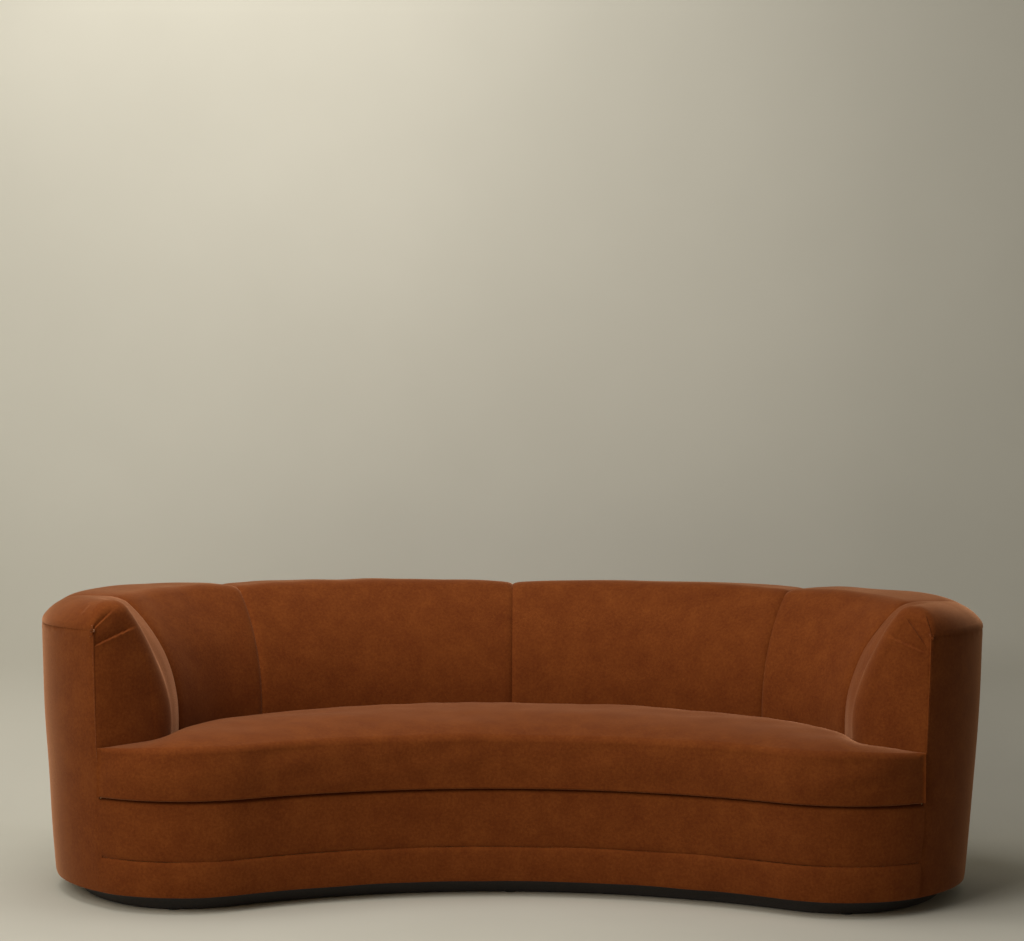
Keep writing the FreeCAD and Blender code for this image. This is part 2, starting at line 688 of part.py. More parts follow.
prism("back_webbing", webs, stud_level, stud_length + " + Sizes.rib_board")


def square_reach(foot, direction, width, arcs, offset):
    """How far a bar of some width runs before one of its corners meets the outline."""
    side = Vector(-direction.y, direction.x, 0) * (width / 2)
    return min(ray_reach(foot + side * way, direction, arcs, offset) for way in (-1, 0, 1))


ties = []
inner_studs = []
tie_arcs = [back, back.mirrored(), shoulder, shoulder.mirrored(), end]
for arc, share, stands in ((well_back, 0.5, False), (well_back, 0.22, True), (well_corner, 0.1, True),
                           (well_corner, 0.8, True), (well_corner, 0.96, False)):
    turn = arc.start + (arc.end - arc.start) * share
    foot = arc.point(inner_rail_outer, turn)
    direction = polar(Vector(0, 0, 0), 1, turn)
    reach = square_reach(foot, direction, stud, tie_arcs, top_inner)
    tie = bar(foot + direction * fit, foot + direction * (reach - fit), stud)
    standing = bar(foot + direction * fit, foot + direction * stud, stud)
    for shape, group in ((tie, ties), (standing, inner_studs))[:1 + stands]:
        group.append(shape)
        if share != 0.5:
            group.append(shape.mirror(Vector(0, 0, 0), Vector(1, 0, 0)))
prism("top_ties", ties, top_level, "Sizes.rib_board")
prism("inner_studs", inner_studs, stud_level, stud_length)

# Springs: sinuous wire from the front seat rib to the back one
spring_shapes = []
clip_shapes = []
wire = size("spring_wire")
pitch = size("spring_pitch")
half_run = size("spring_half")
springs_each_side = int(size("springs_each_side"))
for place in range(-springs_each_side, springs_each_side + 1):
    x = place * size("spring_spacing")
    start_y = front_edge_y(rib_inner, x) - size("spring_grip")
    stop_y = back_edge_y(rib_inner, x) + size("spring_grip")
    runs = int((stop_y - start_y) / pitch)
    bend = pitch / 2
    edges = []
    y = (start_y + stop_y - runs * pitch) / 2
    level = spring_level + wire
    side = 1
    for step in range(runs + 1):
        here = Vector(x - side * (half_run - bend), y, level)
        there = Vector(x + side * (half_run - bend), y, level)
        edges.append(line(here, there))
        if step < runs:
            turning = there + Vector(side * bend, bend, 0)
            edges.append(Part.Arc(there, turning, there + Vector(0, pitch, 0)).toShape())
        y += pitch
        side = -side
    path = Part.Wire(edges)
    begin = edges[0].Vertexes[0].Point
    ring = Part.Wire([Part.Circle(begin, Vector(1, 0, 0), wire / 2).toShape()])
    spring_shapes.append(path.makePipeShell([ring], True, False))
    for y_end in (edges[0].Vertexes[0].Point.y, edges[-1].Vertexes[0].Point.y):
        clip = Part.makeBox(wire * 3, wire * 3, wire / 2 - fit)
        clip.translate(Vector(x - wire * 1.5, y_end - wire * 1.5, spring_level))
        clip_shapes.append(clip)
keep("seat_springs", Part.makeCompound(spring_shapes))
keep("spring_clips", Part.makeCompound(clip_shapes))

# Deck over the springs
deck_front = outside_offset(size("deck_height")) - pad_inset
deck_side = size("pad_depth") - size("board_gap")
deck_face = deck_outline(deck_front, deck_side)
prism("spring_cloth", deck_face, "Sizes.deck_height", "Sizes.cloth_skin")
prism("deck_pad", deck_face, "Sizes.deck_height + Sizes.cloth_skin + Sizes.fit_gap", "Sizes.deck_pad_height")
prism("deck_cover", deck_face,
      "Sizes.deck_height + Sizes.cloth_skin + 2 * Sizes.fit_gap + Sizes.deck_pad_height", "Sizes.cover_skin")

# Outside covers, their liners and the padded apron
liner_inset = pad_inset + size("liner_board")
arm_cover = keep("outside_arm_cover_right", turned_skin(right_run, skirt, top_seam, 0, skin))
mirror("outside_arm_cover_left", arm_cover)
keep("outside_back_cover", turned_skin(back_run, skirt, top_seam, 0, skin))
side_liner = keep("side_liner_right", turned_skin(right_run, skirt, top_seam, pad_inset, liner_inset))
mirror("side_liner_left", side_liner)
keep("back_liner", turned_skin(back_run, skirt, top_seam, pad_inset, liner_inset))
keep("apron_cover", turned_skin(front_run, band_top + fit, deck_top, 0, skin))
keep("lower_band_cover", turned_skin(front_run, skirt, band_top, 0, skin))
keep("apron_pad", turned_skin(front_run, skirt, spring_level, pad_inset, inner_offset=rib_outer + fit))

# Posts behind the arm fronts
post_section = nose_section(90)
post_low = spring_level
post_high = top_seam - fit
post_side = face_side(post_section, post_low, post_high, pad_inset + size("liner_board") + 2 * fit)
post_foot, post_head = sorted((vertex.Point for vertex in post_side.Vertexes), key=lambda point: point.z)
post_inside = size("pad_depth") + 2 * fit
post_corners = [post_section.place(post_inside, post_low), post_section.place(post_inside, post_high)]
post_face = closed_face([post_side, line(post_foot, post_corners[0]), line(post_corners[0], post_corners[1]),
                         line(post_corners[1], post_head)])
post_face.translate(face_normal * -pad_inset)
post = keep("arm_post_right", post_face.extrude(face_normal * -rib))
mirror("arm_post_left", post)

# Seat cushion: crowned block cut to the seat's plan
crown_centre = Vector(0, (front_centre.y + well_centre.y) / 2, 0)
cushion_front = outside_offset(deck_top) + size("cushion_overhang")
cushion_side = -size("cushion_gap")


def ray_hit(arc, offset, direction, far):
    """Distance from the crown's centre to an arc's circle, on its near or far side."""
    away = crown_centre - arc.centre
    along = away.dot(direction)
    root = math.sqrt(along ** 2 - away.dot(away) + arc.radius_at(offset) ** 2)
    return -along + (root if far else -root)


def crown_profile(turn):
    """Wire of the crown's section at a turn: a shallow arch over a flat foot."""
    direction = polar(Vector(0, 0, 0), 1, turn)
    bounded = min(abs(turn), LOBE_LIMIT)
    probe = polar(Vector(0, 0, 0), 1, bounded)
    if bounded <= front_span:
        near = ray_hit(front, cushion_front, probe, True)
    else:
        near = ray_hit(lobe, cushion_front, probe, False)
    probe = polar(Vector(0, 0, 0), 1, min(abs(turn), side_span))
    arc = well_back if abs(turn) <= back_span else well_corner
    far = ray_hit(arc, cushion_side, probe, True)
    edge_level = size("cushion_edge")
    rise = size("cushion_crown") - size("cushion_end_drop") * (turn / ear_span) ** 2
    half = (far - near) / 2
    low = edge_level + rise - rise * ((half + CROWN_OVERRUN) / half) ** 2
    foot = size("deck_height") - CROWN_OVERRUN
    places = [(near - CROWN_OVERRUN, low), ((far + near) / 2, edge_level + rise), (far + CROWN_OVERRUN, low),
              (far + CROWN_OVERRUN, foot), (near - CROWN_OVERRUN, foot)]
    start, middle, finish, far_foot, near_foot = [crown_centre + direction * reach + Vector(0, 0, height)
                                                  for reach, height in places]
    return Part.Wire([Part.Arc(start, middle, finish).toShape(), line(finish, far_foot),
                      line(far_foot, near_foot), line(near_foot, start)])


front_span = turn_of(front.point(cushion_front, front_turn) - crown_centre)
side_span = turn_of(well_corner.point(cushion_side, 90) - crown_centre)
back_span = turn_of(well_corner.point(cushion_side, corner_turn) - crown_centre)
ear_span = turn_of(seam_corner - crown_centre)
crown = loft([crown_profile(turn) for turn in CROWN_TURNS], False)


def lowered_crown(drop):
    """The crown's solid, moved down."""
    shape = crown.copy()
    shape.translate(Vector(0, 0, -drop))
    return shape


def cushion_block(inset, foot, drop):
    """The cushion's plan, inset by some skins, pushed up from its foot and cut to the lowered crown."""
    plan = seat_outline(cushion_front - inset, size("ear_gap") + inset, cushion_side - inset)
    plan.translate(Vector(0, 0, foot))
    return plan.extrude(Vector(0, 0, size("arm_crest") - foot)).common(lowered_crown(drop))


zip_arc = well_back.part(-size("zip_half_angle"), size("zip_half_angle"))
zip_level = sitting_level + (size("cushion_edge") - sitting_level) / 2 - size("zip_height") / 2


def zip_wedge(outer, inner, sweep, level, height):
    """Block along the rear border's arc."""
    face = band([sweep], outer, inner)
    face.translate(Vector(0, 0, level))
    return face.extrude(Vector(0, 0, height))


whole_cushion = cushion_block(0, sitting_level, 0)
keep("cushion_top_panel", whole_cushion.cut(lowered_crown(skin)))
bottom_plan = seat_outline(cushion_front, size("ear_gap"), cushion_side)
bottom_plan.translate(Vector(0, 0, sitting_level))
keep("cushion_bottom_panel", bottom_plan.extrude(Vector(0, 0, skin)))
border = cushion_block(0, sitting_level + skin, skin + fit).cut(cushion_block(skin, sitting_level, 0))
zip_space = zip_wedge(cushion_side + 2 * skin, cushion_side - 2 * skin, zip_arc, zip_level,
                      size("zip_height"))
keep("cushion_border", border.cut(zip_space))
keep("cushion_zip_band", border.common(zip_space))
keep("cushion_core", cushion_block(pad_inset, sitting_level + pad_inset, pad_inset))
slider_half = math.degrees(size("slider_length") / 2 / zip_arc.radius_at(cushion_side))
slider_turn = size("zip_half_angle") - 2 * slider_half
slider_arc = well_back.part(slider_turn - slider_half, slider_turn + slider_half)
slider_level = zip_level + (size("zip_height") - size("slider_height")) / 2
slider_inside = cushion_side + fit
keep("zip_slider", zip_wedge(slider_inside + size("slider_thick"), slider_inside, slider_arc, slider_level,
                             size("slider_height")))

doc.recompute()
for thing in sub_parts:
    if set(thing.State) & {"Invalid", "Error"}:
        raise RuntimeError(thing.Label + " failed")
    if thing.Shape.isNull() or not thing.Shape.isValid():
        raise RuntimeError(thing.Label + " has no sound shape")
os.makedirs("parts", exist_ok=True)
for thing in sub_parts:
    thing.Shape.exportStep("parts/" + thing.Label + ".step")
print(len(sub_parts), "sub-parts written")
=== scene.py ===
"""Dresses the curved sofa: rust mohair velvet over a kidney plan, with its frame, springs and plinth.

Everything is in metres in the part's own frame: +X along the sofa, the front faces -Y, +Z up. A turn is an
angle in degrees from +Y towards +X, seen from above.
"""
from __future__ import annotations

import json
import logging
import math
from dataclasses import dataclass, field
from enum import Enum

import bpy
import numpy as np
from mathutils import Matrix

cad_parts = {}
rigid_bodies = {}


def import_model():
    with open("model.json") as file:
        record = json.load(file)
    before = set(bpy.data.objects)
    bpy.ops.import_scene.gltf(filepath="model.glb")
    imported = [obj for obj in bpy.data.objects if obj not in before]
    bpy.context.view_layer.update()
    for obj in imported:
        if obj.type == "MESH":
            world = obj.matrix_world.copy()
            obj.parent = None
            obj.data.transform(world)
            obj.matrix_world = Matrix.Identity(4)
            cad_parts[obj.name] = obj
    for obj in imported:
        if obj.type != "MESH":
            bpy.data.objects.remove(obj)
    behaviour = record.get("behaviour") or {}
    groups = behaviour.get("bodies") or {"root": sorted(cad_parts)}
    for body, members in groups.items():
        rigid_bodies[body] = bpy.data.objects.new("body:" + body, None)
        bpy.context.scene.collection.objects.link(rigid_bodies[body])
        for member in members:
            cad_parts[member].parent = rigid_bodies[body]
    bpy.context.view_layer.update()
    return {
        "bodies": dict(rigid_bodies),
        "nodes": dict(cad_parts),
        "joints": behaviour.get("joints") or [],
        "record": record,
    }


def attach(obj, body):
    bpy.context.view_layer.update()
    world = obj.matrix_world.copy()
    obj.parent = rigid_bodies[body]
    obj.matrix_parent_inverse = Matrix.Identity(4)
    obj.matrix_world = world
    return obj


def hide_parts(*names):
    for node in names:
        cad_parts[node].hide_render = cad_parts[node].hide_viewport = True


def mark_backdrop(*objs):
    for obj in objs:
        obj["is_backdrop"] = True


LOG = logging.getLogger("curved_sofa")
Array = np.ndarray

TINY = 1e-12  # least length that is divided by
TURN_SLACK = 0.01  # degrees by which a line may miss an arc's end and still meet it
WAVE_SPREAD = (0.7, 1.5)  # shortest and longest wave of a ripple, as shares of its wavelength
WAVE_GAIN = 1.6  # brings the mean of several waves back to about -1 to 1


class Side(Enum):
    """Which half of the sofa a piece belongs to, seen from the front."""

    RIGHT = 1
    LEFT = -1


# Plan of the sofa


@dataclass(frozen=True)
class PlanArc:
    """Arc of a plan outline. A bulging arc grows with the offset, and a hollow one shrinks."""

    x: float
    y: float
    radius: float
    start: float
    end: float
    hollow: bool = False

    def points(self, offset: Array | float, turn: Array | float) -> Array:
        """Points of the arc moved outwards: centre plus radius times the sine and cosine of the turn."""
        reach = self.radius + (-1 if self.hollow else 1) * np.asarray(offset, float)
        angle = np.radians(turn)
        x, y = self.x + reach * np.sin(angle), self.y + reach * np.cos(angle)
        return np.stack(np.broadcast_arrays(x, y), -1)

    def length(self, offset: float) -> float:
        """Length of the moved arc."""
        reach = self.radius + (-offset if self.hollow else offset)
        return reach * math.radians(abs(self.end - self.start))


@dataclass(frozen=True)
class Plan:
    """Sizes of the plan and of the upright sections, and the tangent arcs that follow from them."""

    half_width: float = 1.180
    lobe_front: float = 0.507
    front_middle: float = 0.275
    back_reach: float = 0.4936
    end_radius: float = 0.480
    shoulder_radius: float = 0.330
    lobe_radius: float = 0.300
    seam_turn: float = 142.5
    well_half: float = 0.852
    well_back: float = 0.263
    well_radius: float = 0.430
    arm_nose_front: float = 0.297
    arm_nose: float = 0.049
    arm_seam_turn: float = 76.0
    skirt: float = 0.043
    band_top: float = 0.129
    deck_top: float = 0.2766
    lean_start: float = 0.430
    top_seam: float = 0.682
    outside_lean: float = 0.041
    outside_belly: float = 0.005
    back_crest: float = 0.762
    arm_crest: float = 0.752
    back_lean: float = 0.180
    arm_lean: float = 0.196
    back_roll: float = 0.084
    arm_roll: float = 0.105
    hem_drop: float = 0.002

    def outline(self) -> dict[str, PlanArc]:
        """Hollow front, lobe, rounded end, shoulder and back of the right half.

        Two neighbours share the line through both centres where they touch, so they meet without a corner.

        Returns:
            The arcs by name.
        """
        turn = math.radians(self.seam_turn)
        step = self.end_radius - self.lobe_radius
        end_x = self.half_width - self.end_radius
        lobe_x = end_x + step * math.sin(turn)
        lobe_y = self.lobe_radius - self.lobe_front
        end_y = lobe_y - step * math.cos(turn)
        drop = lobe_y + self.front_middle
        hollow = (lobe_x**2 + drop**2 - self.lobe_radius**2) / (2 * (self.lobe_radius - drop))
        front_y = -self.front_middle - hollow
        front_turn = math.degrees(math.atan2(lobe_x, lobe_y - front_y))
        shoulder_x = self.half_width - self.shoulder_radius
        rise = self.back_reach - end_y - self.shoulder_radius
        back_turn = 2 * math.degrees(math.atan2(rise, shoulder_x))
        back_radius = self.shoulder_radius + shoulder_x / math.sin(math.radians(back_turn))
        return {
            "front": PlanArc(0, front_y, hollow, 0, front_turn, True),
            "lobe": PlanArc(lobe_x, lobe_y, self.lobe_radius, 180 + front_turn, self.seam_turn),
            "end": PlanArc(end_x, end_y, self.end_radius, self.seam_turn, 90),
            "shoulder": PlanArc(shoulder_x, end_y, self.shoulder_radius, 90, back_turn),
            "back": PlanArc(0, self.back_reach - back_radius, back_radius, back_turn, 0),
        }

    def well(self) -> dict[str, PlanArc]:
        """Back and corner arcs of the seating well's right half, which meet without a corner.

        Returns:
            The arcs by name.
        """
        corner_x = self.well_half - self.well_radius
        corner_y = -self.arm_nose_front
        rise = self.well_back - corner_y - self.well_radius
        turn = 2 * math.degrees(math.atan2(rise, corner_x))
        radius = self.well_radius + corner_x / math.sin(math.radians(turn))
        return {
            "back": PlanArc(0, self.well_back - radius, radius, 0, turn),
            "corner": PlanArc(corner_x, corner_y, self.well_radius, turn, 90),
        }

    def outside(self, height: Array | float) -> Array:
        """How far the outside stands beyond the bottom edge: a lean plus a shallow parabola."""
        share = (np.asarray(height, float) - self.skirt) / (self.top_seam - self.skirt)
        return self.outside_lean * share + 4 * self.outside_belly * share * (1 - share)


PLAN = Plan()
OUTLINE = PLAN.outline()
WELL = PLAN.well()
FACE_INNER = np.array([PLAN.well_half, -PLAN.arm_nose_front - PLAN.arm_nose])
SEAM_CORNER = OUTLINE["end"].points(PLAN.outside_lean, PLAN.seam_turn)
FACE_LINE = (SEAM_CORNER - FACE_INNER) / np.linalg.norm(SEAM_CORNER - FACE_INNER)
FACE_NORMAL = np.array([FACE_LINE[1], -FACE_LINE[0]])


def circle_reach(point: Array, direction: Array, arc: PlanArc, offset: Array | float) -> Array:
    """Distance from points inside an arc's circle to it, along directions.

    Args:
        point: Start points, last axis x and y.
        direction: Unit directions of the same shape.
        arc: The arc whose circle is met.
        offset: How far the circle is moved outwards.

    Returns:
        The larger root of the quadratic for a line and a circle.
    """
    away = point - np.array([arc.x, arc.y])
    along = (away * direction).sum(-1)
    reach = arc.radius + (-1 if arc.hollow else 1) * np.asarray(offset, float)
    return np.sqrt(np.maximum(along**2 - (away**2).sum(-1) + reach**2, 0)) - along


def outline_reach(point: Array, direction: Array) -> Array:
    """Distance from the well to the top edge of the outside.

    Args:
        point: Start points, last axis x and y.
        direction: Unit directions of the same shape.

    Returns:
        The reach to whichever arc each line leaves by.
    """
    best = np.full(point.shape[:-1], np.nan)
    for name in ("back", "shoulder", "end"):
        arc = OUTLINE[name]
        reach = circle_reach(point, direction, arc, PLAN.outside_lean)
        spot = point + direction * reach[..., None]
        turn = np.degrees(np.arctan2(spot[..., 0] - arc.x, spot[..., 1] - arc.y))
        low, high = sorted((arc.start, arc.end))
        inside = (turn >= low - TURN_SLACK) & (turn <= high + TURN_SLACK)
        best = np.where(np.isnan(best) & inside, reach, best)
    return best


# Mesh making


def normals_of(grid: Array, ring: bool = False) -> Array:
    """Unit normals of a grid of points: the cross product of its two tangents.

    Args:
        grid: Points, rows by columns by 3.
        ring: Whether the last row joins the first.

    Returns:
        Unit vectors of the same shape.
    """
    along = np.roll(grid, -1, 0) - np.roll(grid, 1, 0) if ring else np.gradient(grid, axis=0)
    across = np.gradient(grid, axis=1)
    normal = np.cross(along, across)
    return normal / np.maximum(np.linalg.norm(normal, axis=-1, keepdims=True), TINY)


def ripple(points: Array, wavelength: float, seed: int, waves: int = 7) -> Array:
    """Gentle unevenness of cloth: a mean of sine waves in seeded directions.

    Args:
        points: Where it is wanted, any leading shape by 3.
        wavelength: Middling length of the waves in metres.
        seed: Seed of the directions, lengths and phases.
        waves: How many waves are added.

    Returns:
        About -1 to 1 at each point.
    """
    draw = np.random.default_rng(seed)
    total = np.zeros(points.shape[:-1])
    for _ in range(waves):
        direction = draw.normal(size=3)
        direction *= 2 * math.pi / (wavelength * draw.uniform(*WAVE_SPREAD) * np.linalg.norm(direction))
        total += np.sin(points @ direction + draw.uniform(0, 2 * math.pi))
    return total / waves * WAVE_GAIN


def smooth_step(value: Array, low: float, high: float) -> Array:
    """Cubic ramp from 0 at low to 1 at high."""
    share = np.clip((value - low) / (high - low), 0, 1)
    return share * share * (3 - 2 * share)


def smoothed(values: Array, window: int) -> Array:
    """Running mean over an odd window, with both ends held."""
    return np.convolve(np.pad(values, window // 2, mode="edge"), np.ones(window) / window, mode="valid")


def quads(rows: int, columns: int, ring: bool = False) -> Array:
    """Vertex numbers of a grid's quads.

    Args:
        rows: Rows of the grid.
        columns: Columns of the grid.
        ring: Whether the last row joins the first.

    Returns:
        Four vertex numbers per quad.
    """
    index = np.arange(rows * columns).reshape(rows, columns)
    below = np.roll(index, -1, 0) if ring else index[1:]
    above = index if ring else index[:-1]
    cells = np.stack([above[:, :-1], above[:, 1:], below[:, 1:], below[:, :-1]], -1)
    return cells.reshape(-1, 4)


def linked(name: str, data: bpy.types.ID) -> bpy.types.Object:
    """A new object at the origin, linked to the scene."""
    thing = bpy.data.objects.new(name, data)
    bpy.context.scene.collection.objects.link(thing)
    return thing


def piece(name: str, points: Array, faces: list, material: bpy.types.Material, side: Side,
          sharp: float = 50.0) -> bpy.types.Object:
    """A mesh object from points and faces, mirrored for the left, with its faces outwards.

    Args:
        name: Name of the object.
        points: Vertices, any leading shape by 3.
        faces: Arrays or lists of vertex numbers.
        material: Finish of the piece.
        side: Which half it is for; the left is x times -1.
        sharp: Edges that turn more than this many degrees stay sharp.

    Returns:
        The new object, at the origin.
    """
    flat = points.reshape(-1, 3) * np.array([side.value, 1.0, 1.0])
    polygons = [face for group in faces for face in np.asarray(group).tolist()]
    mesh = bpy.data.meshes.new(name)
    mesh.from_pydata(flat.tolist(), [], polygons)
    mesh.validate()
    mesh.calc_loop_triangles()
    corners = np.zeros(len(mesh.loop_triangles) * 3, int)
    mesh.loop_triangles.foreach_get("vertices", corners)
    a, b, c = (flat[corners.reshape(-1, 3)[:, k]] for k in range(3))
    if np.einsum("ij,ij->", a, np.cross(b, c)) < 0:
        mesh.flip_normals()
    mesh.shade_smooth()
    mesh.set_sharp_from_angle(angle=math.radians(sharp))
    mesh.materials.append(material)
    return linked(name, mesh)


def shell(grid: Array, thickness: float) -> tuple[Array, list]:
    """A closed sheet: the grid, its copy moved along the normals, and strips that join their borders.

    Args:
        grid: Points of one face, rows by columns by 3.
        thickness: How far the copy stands off, below zero for against the normals.

    Returns:
        The points, and the vertex numbers of both faces and the strips.
    """
    rows, columns = grid.shape[:2]
    inner = grid + normals_of(grid) * thickness
    index = np.arange(rows * columns).reshape(rows, columns)
    border = np.concatenate([index[0], index[1:, -1], index[-1, -2::-1], index[-2:0:-1, 0]])
    after = np.roll(border, -1)
    step = rows * columns
    strip = np.stack([border, border + step, after + step, after], -1)
    faces = quads(rows, columns)
    return np.concatenate([grid.reshape(-1, 3), inner.reshape(-1, 3)]), [faces, faces[:, ::-1] + step, strip]


def tube(loops: Array) -> tuple[Array, list]:
    """A closed form from ring-shaped sections, with its two ends capped.

    Args:
        loops: Points round each section, by sections, by 3.

    Returns:
        The points, and the vertex numbers of the sides and the two caps.
    """
    rows, columns = loops.shape[:2]
    index = np.arange(rows * columns).reshape(rows, columns)
    caps = [[index[:, 0].tolist()], [index[::-1, -1].tolist()]]
    return loops.reshape(-1, 3), [quads(rows, columns, True), *caps]


# Sections of the inside upholstery

# Rows on the straight rise, the lean, the front of the crest, its flat, its back and the roll
SEGMENT_ROWS = (26, 60, 64, 6, 46, 28)
# The same for the arm, whose front bends these rows round the crest
ARM_ROWS = (24, 100, 70, 6, 60, 36)
# At 1 a roll is one arc and a corner; above 1 a second arc rounds that corner
ROLL_FULLNESS = 1.25


def roll_radii(across: Array, rise: Array, tall: bool) -> tuple[Array, Array, Array]:
    """Radii and turn of two tangent arcs that round a corner of unequal legs.

    Both radii solve the two equations that the arcs' steps across and upwards add up to the legs.

    Args:
        across: Level leg.
        rise: Upright leg.
        tall: Whether the upright leg is the long one.

    Returns:
        Radius beside the upright, radius beside the level, and the turn where they join.
    """
    if tall:
        turn = 2 * np.arctan(across / (ROLL_FULLNESS * rise))
    else:
        turn = math.pi / 2 - 2 * np.arctan(rise / (ROLL_FULLNESS * across))
    sine, cosine = np.sin(turn), np.cos(turn)
    scale = 1 - cosine - sine
    return (across * (1 - sine) - rise * cosine) / scale, ((1 - cosine) * rise - sine * across) / scale, turn


@dataclass
class Sections:
    """Upright cuts through back or arm, one per column: foot, direction, width, lean, crest and roll."""

    foot: Array
    direction: Array
    width: Array
    drawn: Array
    crest: Array
    lean: Array
    roll: Array

    def profile(self, counts: tuple[int, ...] = SEGMENT_ROWS) -> tuple[Array, Array]:
        """Across and height of each section's surface, rows by columns.

        The surface goes straight up to where it starts to lean, over two arcs to the crest, and down two
        more to the top seam on the outside.

        Args:
            counts: Rows on each of the six parts.

        Returns:
            Across and height, rows by columns each.
        """
        crest = self.crest - self.drawn
        outer = self.width - self.roll
        start = PLAN.lean_start
        upright, level, turn = roll_radii(self.lean - self.drawn, crest - start, True)
        upright2, level2, turn2 = roll_radii(self.roll, crest - PLAN.top_seam, False)
        half = math.pi / 2
        across, height = [], []

        def add_arc(x: Array, z: Array, radius: Array, first: Array, last: Array, rows: int) -> None:
            """Appends rows of an arc: centre plus radius times cosine and sine."""
            angle = first + (last - first) * np.linspace(0, 1, rows, endpoint=False)[:, None]
            across.append(x + radius * np.cos(angle))
            height.append(z + radius * np.sin(angle))

        rise = np.linspace(0, 1, counts[0], endpoint=False)[:, None]
        across.append(self.drawn + 0 * rise)
        height.append(PLAN.deck_top + (start - PLAN.deck_top) * rise + 0 * self.drawn)
        add_arc(self.drawn + upright, start + 0 * crest, upright, math.pi + 0 * turn, math.pi - turn,
                counts[1])
        add_arc(self.lean, crest - level, level, math.pi - turn, half + 0 * turn, counts[2])
        flat = np.linspace(0, 1, counts[3], endpoint=False)[:, None]
        across.append(self.lean + (outer - self.lean) * flat)
        height.append(crest + 0 * flat)
        add_arc(outer, crest - level2, level2, half + 0 * turn2, turn2, counts[4])
        add_arc(self.width - upright2, PLAN.top_seam + 0 * crest, upright2, turn2, 0 * turn2, counts[5])
        across.append(self.width[None])
        height.append(np.full_like(self.width, PLAN.top_seam)[None])
        return np.concatenate(across), np.concatenate(height)

    def place(self, across: Array, height: Array) -> Array:
        """Points from across and height: foot plus direction times across, and height above the floor."""
        plan = self.foot + self.direction * across[..., None]
        return np.concatenate([plan, np.broadcast_to(height, across.shape)[..., None]], -1)

    def outward(self, across: Array, height: Array) -> Array:
        """Unit normals of the surface inside each section's own plane.

        Args:
            across: Distance from the foot, rows by columns.
            height: Height above the floor, rows by columns.

        Returns:
            Unit vectors, rows by columns by 3.
        """
        run = np.gradient(across, axis=0)
        climb = np.gradient(height, axis=0)
        size = np.maximum(np.hypot(run, climb), TINY)
        plan = self.direction * (-climb / size)[..., None]
        return np.concatenate([plan, (run / size)[..., None]], -1)


def well_sections(arc: PlanArc, turn: Array, drawn: Array, arm_share: Array) -> Sections:
    """Sections square to the well, blended from the back's sizes to the arm's.

    Args:
        arc: Arc of the well that they stand on.
        turn: Turn of each section.
        drawn: How far each one is drawn in.
        arm_share: 0 for the back's sizes, 1 for the arm's.

    Returns:
        One section per turn.
    """
    foot = arc.points(0, turn)
    angle = np.radians(turn)
    direction = np.stack([np.sin(angle), np.cos(angle)], -1)
    width = outline_reach(foot, direction)

    def mix(back: float, arm: float) -> Array:
        """Linear blend by the arm's share."""
        return back + (arm - back) * arm_share

    crest = mix(PLAN.back_crest, PLAN.arm_crest)
    lean = mix(PLAN.back_lean, PLAN.arm_lean)
    roll = mix(PLAN.back_roll, PLAN.arm_roll)
    return Sections(foot, direction, width, drawn, crest, lean, roll)


def bunched(count: int) -> Array:
    """Shares from 0 to 1 that bunch up at both ends, by a cosine."""
    return (1 - np.cos(np.linspace(0, math.pi, count))) / 2


# Finishes


def srgb(code: str) -> tuple[float, float, float, float]:
    """Linear colour from an sRGB hex value, by the standard curve.

    Args:
        code: The colour as a hash sign and six hex digits.

    Returns:
        Red, green, blue and full opacity.
    """
    parts = [int(code[k:k + 2], 16) / 255 for k in (1, 3, 5)]
    red, green, blue = [p / 12.92 if p <= 0.04045 else ((p + 0.055) / 1.055) ** 2.4 for p in parts]
    return red, green, blue, 1.0


def add_node(tree: bpy.types.NodeTree, kind: str, inputs: dict | None = None,
             **settings: object) -> bpy.types.Node:
    """Adds a node with its settings and links.

    Args:
        tree: Node tree that it goes into.
        kind: Type of the node.
        inputs: A value for each input, or a socket that is linked to it.
        settings: Properties of the node itself.

    Returns:
        The new node.
    """
    node = tree.nodes.new(kind)
    for name, value in settings.items():
        setattr(node, name, value)
    for name, value in (inputs or {}).items():
        if isinstance(value, bpy.types.NodeSocket):
            tree.links.new(value, node.inputs[name])
        else:
            node.inputs[name].default_value = value
    return node


def per_metre(millimetres: float) -> float:
    """Texture scale for a feature of this many millimetres on Object coordinates in metres."""
    return 1000.0 / millimetres


def blank(name: str) -> tuple[bpy.types.Material, bpy.types.Node, bpy.types.NodeSocket]:
    """A new material, its shader, and the Object coordinates that its patterns read."""
    material = bpy.data.materials.new(name)
    material.use_nodes = True
    place = add_node(material.node_tree, "ShaderNodeTexCoord").outputs["Object"]
    return material, material.node_tree.nodes["Principled BSDF"], place


